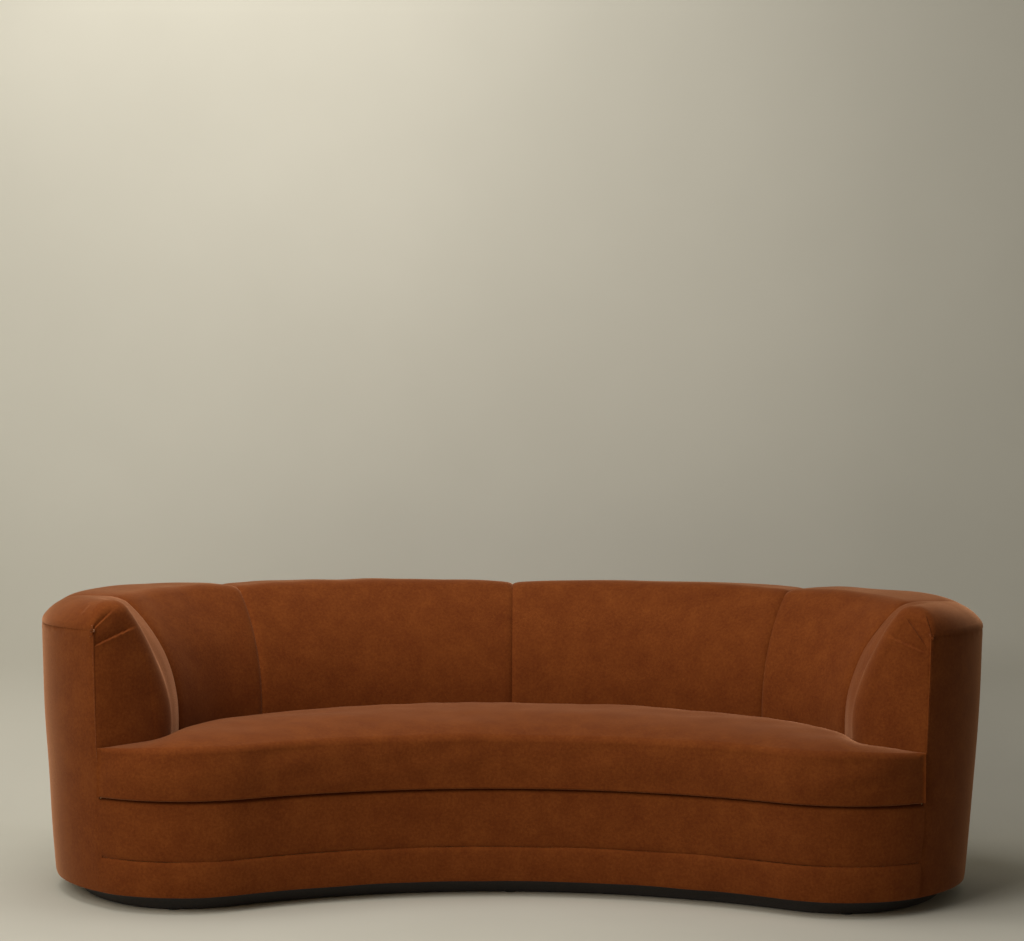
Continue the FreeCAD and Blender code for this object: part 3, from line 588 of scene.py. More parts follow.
@dataclass(frozen=True)
class Velvet:
    """Mohair velvet: an upright pile that is dark seen head on and pale at grazing edges.

    The pile leans here and there, which gives soft lighter and darker patches; single hairs are under a
    tenth of a millimetre, so the pile is drawn 3 mm coarse to show.
    """

    name: str = "mohair_velvet"
    deep: str = "#602b0a"
    plain: str = "#6b340f"
    brushed: str = "#783e15"
    sheen: str = "#e8aa80"
    patch_mm: float = 60.0
    fleck_mm: float = 7.0
    pile_mm: float = 3.0
    fleck_share: float = 0.6
    stops: tuple[float, float, float] = (0.34, 0.50, 0.68)
    bump: float = 0.35
    bump_depth: float = 0.0012
    roughness: float = 0.9
    gloss: float = 0.12
    sheen_weight: float = 0.9
    sheen_roughness: float = 0.32

    def build(self) -> bpy.types.Material:
        """Colour from two noises through a ramp, bump from a third, and a velvet sheen.

        Returns:
            The finished material.
        """
        material, shader, place = blank(self.name)
        tree = material.node_tree
        patch, fleck, pile = (
            add_node(tree, "ShaderNodeTexNoise",
                     {"Vector": place, "Scale": per_metre(size), "Detail": detail, "Roughness": rough})
            for size, detail, rough in ((self.patch_mm, 3.0, 0.55), (self.fleck_mm, 4.0, 0.7),
                                        (self.pile_mm, 2.0, 0.6)))
        both = add_node(tree, "ShaderNodeMix", {"Factor": self.fleck_share}, data_type="FLOAT")
        tree.links.new(patch.outputs["Fac"], both.inputs["A"])
        tree.links.new(fleck.outputs["Fac"], both.inputs["B"])
        ramp = add_node(tree, "ShaderNodeValToRGB", {"Fac": both.outputs["Result"]})
        stops = ramp.color_ramp.elements
        stops[0].position, stops[0].color = self.stops[0], srgb(self.deep)
        stops[1].position, stops[1].color = self.stops[2], srgb(self.brushed)
        middle = stops.new(self.stops[1])
        middle.color = srgb(self.plain)
        bump = add_node(tree, "ShaderNodeBump", {"Height": pile.outputs["Fac"], "Strength": self.bump,
                                                 "Distance": self.bump_depth})
        tree.links.new(ramp.outputs["Color"], shader.inputs["Base Color"])
        tree.links.new(bump.outputs["Normal"], shader.inputs["Normal"])
        for socket, value in (("Roughness", self.roughness), ("Specular IOR Level", self.gloss),
                              ("Sheen Weight", self.sheen_weight), ("Sheen Roughness", self.sheen_roughness),
                              ("Sheen Tint", srgb(self.sheen))):
            shader.inputs[socket].default_value = value
        return material


@dataclass(frozen=True)
class Plain:
    """A finish with a stretched noise for grain, weave or casting, and a fine bump.

    stretch squeezes the pattern along x, y and z, so a large value draws fine lines across that axis.
    """

    name: str
    dark: str
    light: str
    grain_mm: float
    stretch: tuple[float, float, float] = (1.0, 1.0, 1.0)
    roughness: float = 0.7
    metallic: float = 0.0
    bump: float = 0.2
    bump_depth: float = 0.0006
    detail: float = 5.0
    stops: tuple[float, float] = (0.35, 0.66)

    def build(self) -> bpy.types.Material:
        """Colour from one noise through a ramp, bump from the same noise.

        Returns:
            The finished material.
        """
        material, shader, place = blank(self.name)
        tree = material.node_tree
        turned = add_node(tree, "ShaderNodeMapping", {"Vector": place, "Scale": self.stretch})
        noise = add_node(tree, "ShaderNodeTexNoise",
                         {"Vector": turned.outputs["Vector"], "Scale": per_metre(self.grain_mm),
                          "Detail": self.detail})
        ramp = add_node(tree, "ShaderNodeValToRGB", {"Fac": noise.outputs["Fac"]})
        stops = ramp.color_ramp.elements
        stops[0].position, stops[0].color = self.stops[0], srgb(self.dark)
        stops[1].position, stops[1].color = self.stops[1], srgb(self.light)
        bump = add_node(tree, "ShaderNodeBump", {"Height": noise.outputs["Fac"], "Strength": self.bump,
                                                 "Distance": self.bump_depth})
        tree.links.new(ramp.outputs["Color"], shader.inputs["Base Color"])
        tree.links.new(bump.outputs["Normal"], shader.inputs["Normal"])
        shader.inputs["Roughness"].default_value = self.roughness
        shader.inputs["Metallic"].default_value = self.metallic
        return material


FINISHES: dict[str, Plain] = {
    # Rotary-cut birch plywood: pale face, grain lines a few millimetres apart along the board
    "plywood": Plain("birch_plywood", "#b9925f", "#dcbd8a", 9.0, (1.0, 8.0, 8.0), 0.6),
    # Planed pine studs: warm, with upright growth rings
    "timber": Plain("planed_pine", "#b98852", "#dbb27a", 12.0, (6.0, 6.0, 0.7), 0.65),
    # Plinth boards stained near black, with the grain just showing
    "stained_plinth": Plain("stained_beech", "#120c08", "#2a1d14", 7.0, (1.0, 1.0, 9.0), 0.42, 0.0, 0.12),
    # Dark brown pressed fibre liner
    "fibre_liner": Plain("pressed_fibreboard", "#4d3524", "#614733", 5.0, (1.0, 1.0, 1.0), 0.9, 0.0, 0.3),
    # Needled felt from mixed white and grey fibres
    "felt": Plain("needled_felt", "#a9a59b", "#d3cfc4", 4.0, (1.0, 1.0, 1.0), 0.95, 0.0, 0.5),
    # Black spunbond cloth under the frame and over the springs
    "black_cloth": Plain("spunbond_cloth", "#0c0c0d", "#242425", 2.5, (1.0, 1.0, 1.0), 0.85, 0.0, 0.3),
    # Jute webbing: coarse upright and level threads, drawn 4 mm coarse
    "jute": Plain("jute_webbing", "#8a6b3e", "#b8975f", 4.0, (1.0, 1.0, 5.0), 0.9, 0.0, 0.6),
    # Tempered spring wire with a thin oil film
    "spring_steel": Plain("tempered_spring_wire", "#4b4a48", "#7b7975", 6.0, (1.0, 1.0, 1.0), 0.35, 1.0, 0.1),
    # Moulded nylon glides
    "nylon": Plain("moulded_nylon", "#141414", "#262626", 3.0, (1.0, 1.0, 1.0), 0.5, 0.0, 0.1),
    # Cut polyurethane foam, open cells a millimetre wide
    "foam": Plain("cut_foam", "#d8cc9c", "#f0e6bd", 3.0, (1.0, 1.0, 1.0), 0.95, 0.0, 0.5),
    # Antiqued brass of the zip slider, darker where it isn't rubbed
    "zip_metal": Plain("antiqued_brass", "#6d5226", "#b58e4a", 3.0, (1.0, 1.0, 1.0), 0.32, 1.0, 0.1),
}


# Upholstery


@dataclass(frozen=True)
class BackChannels:
    """The four padded channels of the back, each drawn in at its two seams."""

    puff: float = 0.009
    notch: float = 0.006
    notch_width: float = 0.007
    flatness: float = 3.2
    pad_depth: float = 0.150
    columns: int = 84
    back_steps: int = 5
    wave: float = 0.17
    wave_height: float = 0.0016
    calm_edge: float = 0.06

    def drawn(self, share: Array, length: float) -> Array:
        """Distance a column is drawn in: a flat-bottomed curve over the channel and a narrow seam groove."""
        seam = np.minimum(share, 1 - share) * length
        curve = self.puff * np.abs(2 * share - 1) ** self.flatness
        return curve + self.notch * np.exp(-seam / self.notch_width)

    def build(self, velvet: bpy.types.Material) -> list[bpy.types.Object]:
        """Makes the four channels as closed pads.

        Args:
            velvet: The cover's material.

        Returns:
            Inner and outer channels, right and left of each.
        """
        made = []
        share = bunched(self.columns)
        inner, outer = WELL["back"], WELL["corner"]
        for name, arc, first, last, arm, seed in (
                ("inner", inner, 0.0, inner.end, 0.0, 121),
                ("outer", outer, outer.start, PLAN.arm_seam_turn, 1.0, 127)):
            turn = first + (last - first) * share
            length = math.radians(last - first) * arc.radius
            sections = well_sections(arc, turn, self.drawn(share, length), arm * share)
            across, height = sections.profile()
            grid = sections.place(across, height)
            edge = np.minimum(share, 1 - share)[None] * length
            calm = smooth_step(edge, 0.0, self.calm_edge)
            for side in Side:
                uneven = ripple(grid, self.wave, seed + 7 * side.value) * self.wave_height * calm
                moved = grid + sections.outward(across, height) * uneven[..., None]
                suffix = side.name.lower()
                thing = piece(f"velvet_{name}_channel_{suffix}", *self.closed(moved, sections), velvet, side)
                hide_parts(f"{name}_back_pad_{suffix}", f"{name}_back_cover_{suffix}")
                made.append(thing)
        return made

    def closed(self, grid: Array, sections: Sections) -> tuple[Array, list]:
        """Closes each section behind the surface: in along the top seam, down the webbing, out at the foot.

        Args:
            grid: Points of the surface.
            sections: The sections that they stand on.

        Returns:
            The points and faces of a closed form.
        """
        depth = np.full_like(sections.width, self.pad_depth)
        steps = np.linspace(0, 1, self.back_steps)[1:-1, None]
        top, foot = PLAN.top_seam, PLAN.deck_top
        inwards = sections.width + (depth - sections.width) * steps
        back = [sections.place(inwards, np.full((len(steps), 1), top)),
                sections.place(depth[None], np.full((1, 1), top)),
                sections.place(depth + 0 * steps, top + (foot - top) * steps),
                sections.place(depth[None], np.full((1, 1), foot))]
        return tube(np.concatenate([grid] + back))


@dataclass(frozen=True)
class Crease:
    """A pleat or pucker, as a line in the front view: x and z of both ends, depth and bulge beside it."""

    x0: float
    z0: float
    x1: float
    z1: float
    depth: float
    bulge: float
    reach: float = 0.016
    fade_in: tuple[float, float] = (-0.08, 0.25)
    fade_out: tuple[float, float] = (0.75, 1.08)
    line_half: float = 0.0012

    def push(self, points: Array) -> Array:
        """Movement along the normal: a bulge on one side, a sharp drop, and a slow rise on the other.

        Args:
            points: Where it is wanted, any leading shape by 3.

        Returns:
            Metres outwards at each point.
        """
        start = np.array([self.x0, self.z0])
        run = np.array([self.x1, self.z1]) - start
        length = np.linalg.norm(run)
        run = run / length
        away = points[..., [0, 2]] - start
        along = away @ run / length
        side = away @ np.array([-run[1], run[0]])
        near = smooth_step(along, *self.fade_in) * (1 - smooth_step(along, *self.fade_out))
        above = self.bulge * np.exp(-np.maximum(side, 0) / self.reach)
        below = -self.depth * np.exp(np.minimum(side, 0) / self.reach)
        mix = smooth_step(side, -self.line_half, self.line_half)
        return near * (above * mix + below * (1 - mix))


# Pleats that gather the roll at the top of the arm's front seam: left and right differ a little
PLEATS: dict[Side, tuple[Crease, ...]] = {
    Side.LEFT: (
        Crease(1.016, 0.641, 0.928, 0.685, 0.0055, 0.0030),
        Crease(1.021, 0.676, 0.974, 0.728, 0.0036, 0.0022),
        Crease(1.056, 0.716, 1.036, 0.740, 0.0016, 0.0010, 0.010),
    ),
    Side.RIGHT: (
        Crease(1.003, 0.640, 0.922, 0.676, 0.0022, 0.0022),
        Crease(1.004, 0.654, 0.957, 0.730, 0.0034, 0.0026),
        Crease(1.016, 0.679, 1.005, 0.733, 0.0024, 0.0016, 0.010),
    ),
}


@dataclass(frozen=True)
class Arms:
    """Inside arm covers: they roll over the arm and wrap round its nose into a flat front."""

    sweep_columns: int = 24
    fan_columns: int = 56
    tube_columns: int = 50
    round_columns: int = 18
    face_columns: int = 56
    inner_round: float = 0.038
    crest_round: float = 0.050
    outer_round: float = 0.014
    round_swell: float = 1.15
    round_turns: tuple[float, float] = (0.5, 0.85)
    past_crest: float = 0.02
    round_share: float = 0.7
    round_window: int = 25
    face_puff: float = 0.008
    face_full: tuple[float, float] = (0.02, 0.15)
    tube_bunch: float = 0.8
    face_bunch: float = 0.9
    frontal: tuple[float, float] = (-0.1, 0.35)
    thickness: float = 0.006
    puff: float = BackChannels.puff
    puff_fade: float = 0.10
    notch: float = BackChannels.notch
    notch_width: float = BackChannels.notch_width
    nose_lean: float = 0.124
    nose_roll: float = 0.072
    nose_gap: float = 0.008
    gather_from: float = 0.54
    gather_to: float = 0.705
    gathered: tuple[float, float, float] = (0.640, 0.655, 0.668)
    gather_window: int = 15
    pucker_reach: float = 0.035
    pucker_wave: float = 0.016
    pucker: float = 0.0004
    wave: float = 0.15
    wave_height: float = 0.0014
    seam_width: float = 0.010
    seam_draw: float = 0.0012

    def sections(self) -> Sections:
        """Sections from the seam with the back to the front face: a sweep, then a fan about the nose.

        Returns:
            One section per column of the roll.
        """
        corner, end = WELL["corner"], OUTLINE["end"]
        share = np.linspace(0, 1, self.sweep_columns, endpoint=False)
        turn = PLAN.arm_seam_turn + (90 - PLAN.arm_seam_turn) * share
        distance = np.radians(turn - PLAN.arm_seam_turn) * corner.radius
        drawn = (self.puff * (1 - smooth_step(distance, 0, self.puff_fade)) ** 2
                 + self.notch * np.exp(-distance / self.notch_width))
        sweep = well_sections(corner, turn, drawn, np.ones_like(turn))
        fan = np.sin(np.linspace(0, math.pi / 2, self.fan_columns))[:, None]
        side_foot = corner.points(0, 90)
        reach = circle_reach(side_foot, np.array([1.0, 0.0]), end, PLAN.outside_lean)
        first = side_foot + np.array([reach, 0.0])
        first_turn = math.degrees(math.atan2(first[0] - end.x, first[1] - end.y))
        foot = side_foot + (FACE_INNER - side_foot) * fan
        outer = end.points(PLAN.outside_lean, first_turn + (PLAN.seam_turn - first_turn) * fan[:, 0])
        span = np.linalg.norm(outer - foot, axis=-1)
        square = fan[:, 0] ** 2
        flat = np.zeros_like(span)
        lean = PLAN.arm_lean + (self.nose_lean - PLAN.arm_lean) * square
        roll = PLAN.arm_roll + (self.nose_roll - PLAN.arm_roll) * square
        room = np.minimum(1, (span - self.nose_gap) / (lean + roll))
        direction = (outer - foot) / span[:, None]
        nose = Sections(foot, direction, span, flat, flat + PLAN.arm_crest, lean * room, roll * room)
        return Sections(*[np.concatenate([getattr(sweep, name), getattr(nose, name)]) for name in
                          ("foot", "direction", "width", "drawn", "crest", "lean", "roll")])

    def grid(self) -> Array:
        """Surface of the right arm: roll, rounded edge all round its front, and the front itself.

        Each row runs along the arm to one edge radius short of the front plane, turns on a conic whose
        corner is the front's outline, and crosses the front to its place on the upright seam. Rows from
        the crest gather at the seam's top, which makes the dome.

        Returns:
            Points by rows and columns.
        """
        sections = self.sections()
        base = sections.place(*sections.profile(ARM_ROWS))
        corner = base[:, -1]
        run = np.concatenate([[0.0], np.cumsum(np.linalg.norm(np.diff(corner, axis=0), axis=1))])
        crest = float(run[int(np.argmax(corner[:, 2]))])
        finish = self.seam(run, corner)
        away = finish - corner
        length = np.linalg.norm(away, axis=1)
        first, second = self.round_turns
        radius = np.interp(run, [0, crest * first, crest * second, crest + self.past_crest, run[-1]],
                           [self.inner_round, self.inner_round * self.round_swell, self.crest_round,
                            self.crest_round, self.outer_round])
        radius = np.minimum(smoothed(radius, self.round_window), self.round_share * length)
        steps = np.linalg.norm(np.diff(base, axis=1), axis=2)
        track = np.concatenate([np.zeros((len(run), 1)), np.cumsum(steps, axis=1)], 1)
        share = np.linspace(0, 1, self.tube_columns) ** self.tube_bunch
        tube_part = np.empty((len(run), self.tube_columns, 3))
        for row in range(len(run)):
            wanted = share * (track[row, -1] - radius[row])
            tube_part[row] = np.stack([np.interp(wanted, track[row], base[row, :, k]) for k in range(3)], -1)
        start = tube_part[:, -1:]
        inset = (corner + away * (radius / length)[:, None])[:, None]
        turn = np.linspace(0, 1, self.round_columns + 1)[1:][None, :, None]
        weight = 2 * math.cos(math.pi / 4) * turn * (1 - turn)
        rounded = ((1 - turn) ** 2 * start + weight * corner[:, None] + turn**2 * inset) / (
            (1 - turn) ** 2 + weight + turn**2)
        share = np.linspace(0, 1, self.face_columns + 1)[1:] ** self.face_bunch
        face = inset + (finish[:, None] - inset) * share[None, :, None]
        puff = np.sin(math.pi * share) ** 0.9 * self.face_puff
        normal = np.array([FACE_NORMAL[0], FACE_NORMAL[1], 0.0])
        reach = smooth_step(length - radius, *self.face_full)[:, None, None]
        face = face + normal * puff[None, :, None] * reach
        return np.concatenate([tube_part, rounded, face], 1)

    def seam(self, run: Array, corner: Array) -> Array:
        """Each row's place on the upright seam: level with the row low down, then gathered at the top.

        Args:
            run: Running length of the front's outline.
            corner: Points of that outline.

        Returns:
            One point per row.
        """
        crest = int(np.argmax(corner[:, 2]))
        rising = corner[:crest + 1, 2]
        low, high = (float(run[int(np.searchsorted(rising, z))]) for z in (self.gather_from, self.gather_to))
        level = np.interp(run, [0.0, low, high, float(run[crest]), float(run[-1])],
                          [PLAN.deck_top, self.gather_from, *self.gathered])
        level = smoothed(level, self.gather_window)
        reach = circle_reach(np.broadcast_to(FACE_INNER, (len(level), 2)),
                             np.broadcast_to(FACE_LINE, (len(level), 2)), OUTLINE["end"], PLAN.outside(level))
        return np.concatenate([FACE_INNER + FACE_LINE * reach[:, None], level[:, None]], 1)

    def build(self, velvet: bpy.types.Material) -> list[bpy.types.Object]:
        """Makes both arms as closed padded shells with their pleats.

        Args:
            velvet: The cover's material.

        Returns:
            The right arm and the left one.
        """
        made = []
        base = self.grid()
        normal = -normals_of(base)
        inside = (base[..., 0] < 0.9) & (base[..., 2] < 0.5)  # low on the side next to the seat
        if float((normal[inside] @ np.array([-1.0, 0, 0])).mean()) < 0:
            normal = -normal
        frontal = smooth_step(-normal[..., 1], *self.frontal)  # the pleats fade out round the corner
        edge = smooth_step(np.linalg.norm(base[..., :2] - base[:, -1:, :2], axis=-1), 0, self.seam_width)
        for side in Side:
            push = sum(crease.push(base) for crease in PLEATS[side]) * frontal
            gather = np.exp(-np.linalg.norm(base - base[-1, -1], axis=-1) / self.pucker_reach)
            push = push + gather * ripple(base, self.pucker_wave, 5 + side.value) * self.pucker
            push = push + ripple(base, self.wave, 23 + side.value) * self.wave_height * edge
            push = push - (1 - edge) * self.seam_draw
            grid = base + normal * push[..., None]
            inwards = float((normals_of(grid) * normal).sum(-1).mean()) < 0
            signed = self.thickness if inwards else -self.thickness
            suffix = side.name.lower()
            thing = piece(f"velvet_arm_{suffix}", *shell(grid, signed), velvet, side)
            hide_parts(f"arm_pad_{suffix}", f"inside_arm_cover_{suffix}")
            made.append(thing)
        return made


@dataclass(frozen=True)
class OutsideCovers:
    """Plain outside covers of arms and back, drawn in a little at every seam, with a turned-under hem."""

    seam_depth: float = 0.0018
    seam_width: float = 0.007
    hem_depth: float = 0.0015
    hem_width: float = 0.004
    pucker: float = 0.0007
    pucker_wave: float = 0.030
    pucker_width: float = 0.018
    wave: float = 0.28
    wave_height: float = 0.0018
    calm_edge: float = 0.05
    deepest: float = 0.0013
    overlap: float = 0.0035
    seam_gap: float = 0.35  # degrees of turn between the front seam and the first column
    arm_step: float = 0.008
    back_step: float = 0.012
    middle_height: float = 0.36
    thickness: float = 0.004
    rows: int = 90

    def heights(self) -> Array:
        """Row heights from hem to top seam, bunched at both."""
        return PLAN.skirt - PLAN.hem_drop + (PLAN.top_seam + self.overlap - PLAN.skirt) * bunched(self.rows)

    def surface(self, arcs: list[tuple[PlanArc, float, float]], step: float) -> tuple[Array, Array]:
        """Grid of the outside over a run of arcs, and each column's distance along it.

        Args:
            arcs: Each arc with its first and last turn.
            step: Column spacing in metres.

        Returns:
            Points by rows and columns, and the running length of the columns.
        """
        height = self.heights()[:, None]
        grids = []
        for arc, first, last in arcs:
            count = max(int(arc.radius * math.radians(abs(last - first)) / step), 8)
            turn = np.linspace(first, last, count, endpoint=arc is arcs[-1][0])[None]
            plan = arc.points(PLAN.outside(height), turn)
            grids.append(np.concatenate([plan, np.broadcast_to(height, plan.shape[:2])[..., None]], -1))
        grid = np.concatenate(grids, 1)
        run = np.concatenate([[0.0], np.cumsum(np.linalg.norm(np.diff(grid[0], axis=0), axis=1))])
        return grid, run

    def dress(self, grid: Array, run: Array, seed: int) -> Array:
        """Draws the edges in and adds slow unevenness, along outward normals.

        Args:
            grid: Points by rows and columns.
            run: Running length of the columns.
            seed: Seed of the unevenness.

        Returns:
            The moved points.
        """
        normal = normals_of(grid)
        if not self.faces_out(grid, normal):
            normal = -normal
        height = grid[..., 2]
        to_edge = np.minimum.reduce([PLAN.top_seam - height + 0 * run, np.broadcast_to(run, height.shape),
                                     np.broadcast_to(run[-1] - run, height.shape)])
        draw = -self.seam_depth * np.exp(-to_edge / self.seam_width)
        hem = -self.hem_depth * np.exp(-(height - PLAN.skirt) / self.hem_width)
        pucker = np.exp(-to_edge / self.pucker_width) * ripple(grid, self.pucker_wave, seed + 1) * self.pucker
        slow = ripple(grid, self.wave, seed) * self.wave_height * smooth_step(to_edge, 0, self.calm_edge)
        return grid + normal * np.maximum(draw + hem + pucker + slow, -self.deepest)[..., None]

    def faces_out(self, grid: Array, normal: Array) -> bool:
        """Whether the normals point away from the sofa's middle."""
        centre = np.array([0.0, 0.0, self.middle_height])
        return float(((grid - centre) * normal)[..., :2].sum(-1).mean()) > 0

    def build(self, velvet: bpy.types.Material) -> list[bpy.types.Object]:
        """Makes both outside arms and the outside back.

        Args:
            velvet: The cover's material.

        Returns:
            Right arm, left arm and back.
        """
        made = []
        end, shoulder, back = OUTLINE["end"], OUTLINE["shoulder"], OUTLINE["back"]
        arcs = [(end, end.start + self.seam_gap, end.end), (shoulder, shoulder.start, shoulder.end)]
        grid, run = self.surface(arcs, self.arm_step)
        for side in Side:
            dressed = self.dress(grid, run, 40 + side.value)
            thing = piece(f"velvet_outside_arm_{side.name.lower()}", *self.sheet(dressed), velvet, side)
            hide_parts(f"outside_arm_cover_{side.name.lower()}")
            made.append(thing)
        grid, run = self.surface([(back, back.start, -back.start)], self.back_step)
        thing = piece("velvet_outside_back", *self.sheet(self.dress(grid, run, 50)), velvet, Side.RIGHT)
        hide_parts("outside_back_cover")
        made.append(thing)
        return made

    def sheet(self, grid: Array) -> tuple[Array, list]:
        """Closes the cover as a thin shell whose thickness goes inwards."""
        outwards = self.faces_out(grid, normals_of(grid))
        return shell(grid, -self.thickness if outwards else self.thickness)


@dataclass(frozen=True)
class Apron:
    """The padded front under the cushion and the lower band sewn to it."""

    seam_draw: float = 0.0035
    seam_width: float = 0.006
    top_draw: float = 0.010
    top_round: float = 0.016
    belly: float = 0.0025
    band_belly: float = 0.0045
    band_flatness: float = 0.6
    band_seam_width: float = 0.004
    band_gap: float = 0.0004
    hem_draw: float = 0.0006
    hem_width: float = 0.004
    wave: float = 0.22
    wave_height: float = 0.0014
    deepest: float = 0.0003
    pucker: float = 0.0006
    pucker_wave: float = 0.022
    pucker_width: float = 0.010
    thickness: float = 0.010
    columns: int = 300
    rows: int = 48

    def run(self) -> tuple[Array, Array]:
        """Turns of the right half's columns, at an even spacing along the front.

        Returns:
            Turns on the hollow front and turns on the lobe.
        """
        front, lobe = OUTLINE["front"], OUTLINE["lobe"]
        half = self.columns // 2
        share = front.length(0) / (front.length(0) + lobe.length(0))
        middle = np.linspace(0, front.end, int(half * share), endpoint=False)
        curve = np.linspace(lobe.start, lobe.end, half - int(half * share))
        return middle, curve

    def surface(self, height: Array, extra: Array) -> Array:
        """Grid over the whole front run: offset by the outside's lean plus an extra per row.

        Args:
            height: Height of each row.
            extra: How far each row stands out beyond the outside.

        Returns:
            Points by rows and columns, from the left front seam to the right one.
        """
        middle, curve = self.run()
        offset = (PLAN.outside(height) + extra)[:, None]
        right = np.concatenate([OUTLINE["front"].points(offset, middle[None]),
                                OUTLINE["lobe"].points(offset, curve[None])], 1)
        left = right[:, :0:-1] * np.array([-1.0, 1.0])
        plan = np.concatenate([left, right], 1)
        return np.concatenate([plan, np.broadcast_to(height[:, None], plan.shape[:2])[..., None]], -1)

    def build(self, velvet: bpy.types.Material) -> list[bpy.types.Object]:
        """Makes apron and band as closed shells.

        Args:
            velvet: The cover's material.

        Returns:
            The apron and the band.
        """
        rise = bunched(self.rows)
        low, high = PLAN.band_top, PLAN.deck_top
        height = low + (high - low) * rise
        draw = (-self.seam_draw * np.exp(-(height - low) / self.seam_width)
                - self.top_draw * smooth_step(height, high - self.top_round, high) ** 2
                + self.belly * np.sin(math.pi * rise))
        apron = self.surface(height, draw)
        low, high = PLAN.skirt - PLAN.hem_drop, PLAN.band_top - self.band_gap
        height = low + (high - low) * rise
        draw = (self.band_belly * np.sin(math.pi * rise) ** self.band_flatness
                - self.seam_draw * np.exp(-(high - height) / self.band_seam_width)
                - self.hem_draw * np.exp(-(height - low) / self.hem_width))
        band = self.surface(height, draw)
        made = []
        for name, grid, nodes, seed in (("velvet_apron", apron, ("apron_cover", "apron_pad"), 60),
                                        ("velvet_lower_band", band, ("lower_band_cover",), 66)):
            normal = normals_of(grid)
            middle = grid.shape[1] // 2
            if normal[:, middle, 1].mean() > 0:
                normal = -normal
            slow = np.maximum(ripple(grid, self.wave, seed) * self.wave_height, -self.deepest)
            pucker = ripple(grid * np.array([1, 1, 0.2]), self.pucker_wave, seed + 1) * self.pucker
            near = np.exp(-np.abs(grid[..., 2] - PLAN.band_top) / self.pucker_width)
            grid = grid + normal * (slow + pucker * near)[..., None]
            outwards = normals_of(grid)[:, middle, 1].mean() < 0
            thing = piece(name, *shell(grid, -self.thickness if outwards else self.thickness), velvet,
                          Side.RIGHT)
            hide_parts(*nodes)
            made.append(thing)
        return made


@dataclass(frozen=True)
class SeatPlan:
    """Plan of a kidney-shaped seat piece: front curve and rear curve, both from the middle to the ear."""

    front_offset: float
    side_offset: float
    ear_gap: float
    under_pads: bool = False
    front_steps: int = 400
    back_steps: int = 300
    bend_steps: int = 200
    line_steps: int = 60
    tuck: float = 0.045
    knee: float = 0.012
    knee_share: float = 0.4

    def curves(self, columns: int) -> tuple[Array, Array]:
        """Front and rear points of the right half, at equal shares of their lengths.

        Args:
            columns: How many points each curve gets.

        Returns:
            Points of the front curve and of the rear one, from the middle to the ear.
        """
        front, lobe = OUTLINE["front"], OUTLINE["lobe"]
        ear = self.ear()
        ear_turn = math.degrees(math.atan2(ear[0] - lobe.x, ear[1] - lobe.y)) % 360
        hollow = np.linspace(0, front.end, self.front_steps, endpoint=False)
        bulge = np.linspace(lobe.start, ear_turn, self.bend_steps)
        near = np.concatenate([front.points(self.front_offset, hollow),
                               lobe.points(self.front_offset, bulge)])
        back, corner = WELL["back"], WELL["corner"]
        straight = np.linspace(0, back.end, self.back_steps, endpoint=False)
        bend = np.linspace(corner.start, 90, self.bend_steps, endpoint=False)
        far = [back.points(self.side_offset, straight), corner.points(self.side_offset, bend)]
        side_end = corner.points(self.side_offset, 90)
        line = np.linspace(0, 1, self.line_steps)[:, None]
        if self.under_pads:
            inner = FACE_INNER + FACE_LINE * self.side_offset
            far += [side_end + (inner - side_end) * line[:-1], inner + (ear - inner) * line]
        else:
            shift = FACE_NORMAL * self.ear_gap
            inner = FACE_INNER + FACE_LINE * self.tuck + shift
            knee = FACE_INNER + np.array([self.side_offset, self.knee]) + shift * self.knee_share
            curve = (1 - line) ** 2 * side_end + 2 * line * (1 - line) * knee + line**2 * inner
            far += [curve[:-1], inner + (ear - inner) * line]
        return self.even(near, columns), self.even(np.concatenate(far), columns)

    def ear(self) -> Array:
        """Where the front curve meets the arm's front face, moved forward by the gap.

        Returns:
            x and y of the ear's tip.
        """
        lobe = OUTLINE["lobe"]
        start = FACE_INNER + FACE_NORMAL * self.ear_gap
        reach = circle_reach(start, FACE_LINE, lobe, self.front_offset)
        return start + FACE_LINE * reach

    @staticmethod
    def even(points: Array, columns: int) -> Array:
        """Points at equal shares of a polyline's length.

        Args:
            points: Corners of the polyline.
            columns: How many points are wanted.

        Returns:
            The points, ends included.
        """
        run = np.concatenate([[0.0], np.cumsum(np.linalg.norm(np.diff(points, axis=0), axis=1))])
        wanted = np.linspace(0, run[-1], columns)
        return np.stack([np.interp(wanted, run, points[:, k]) for k in (0, 1)], -1)


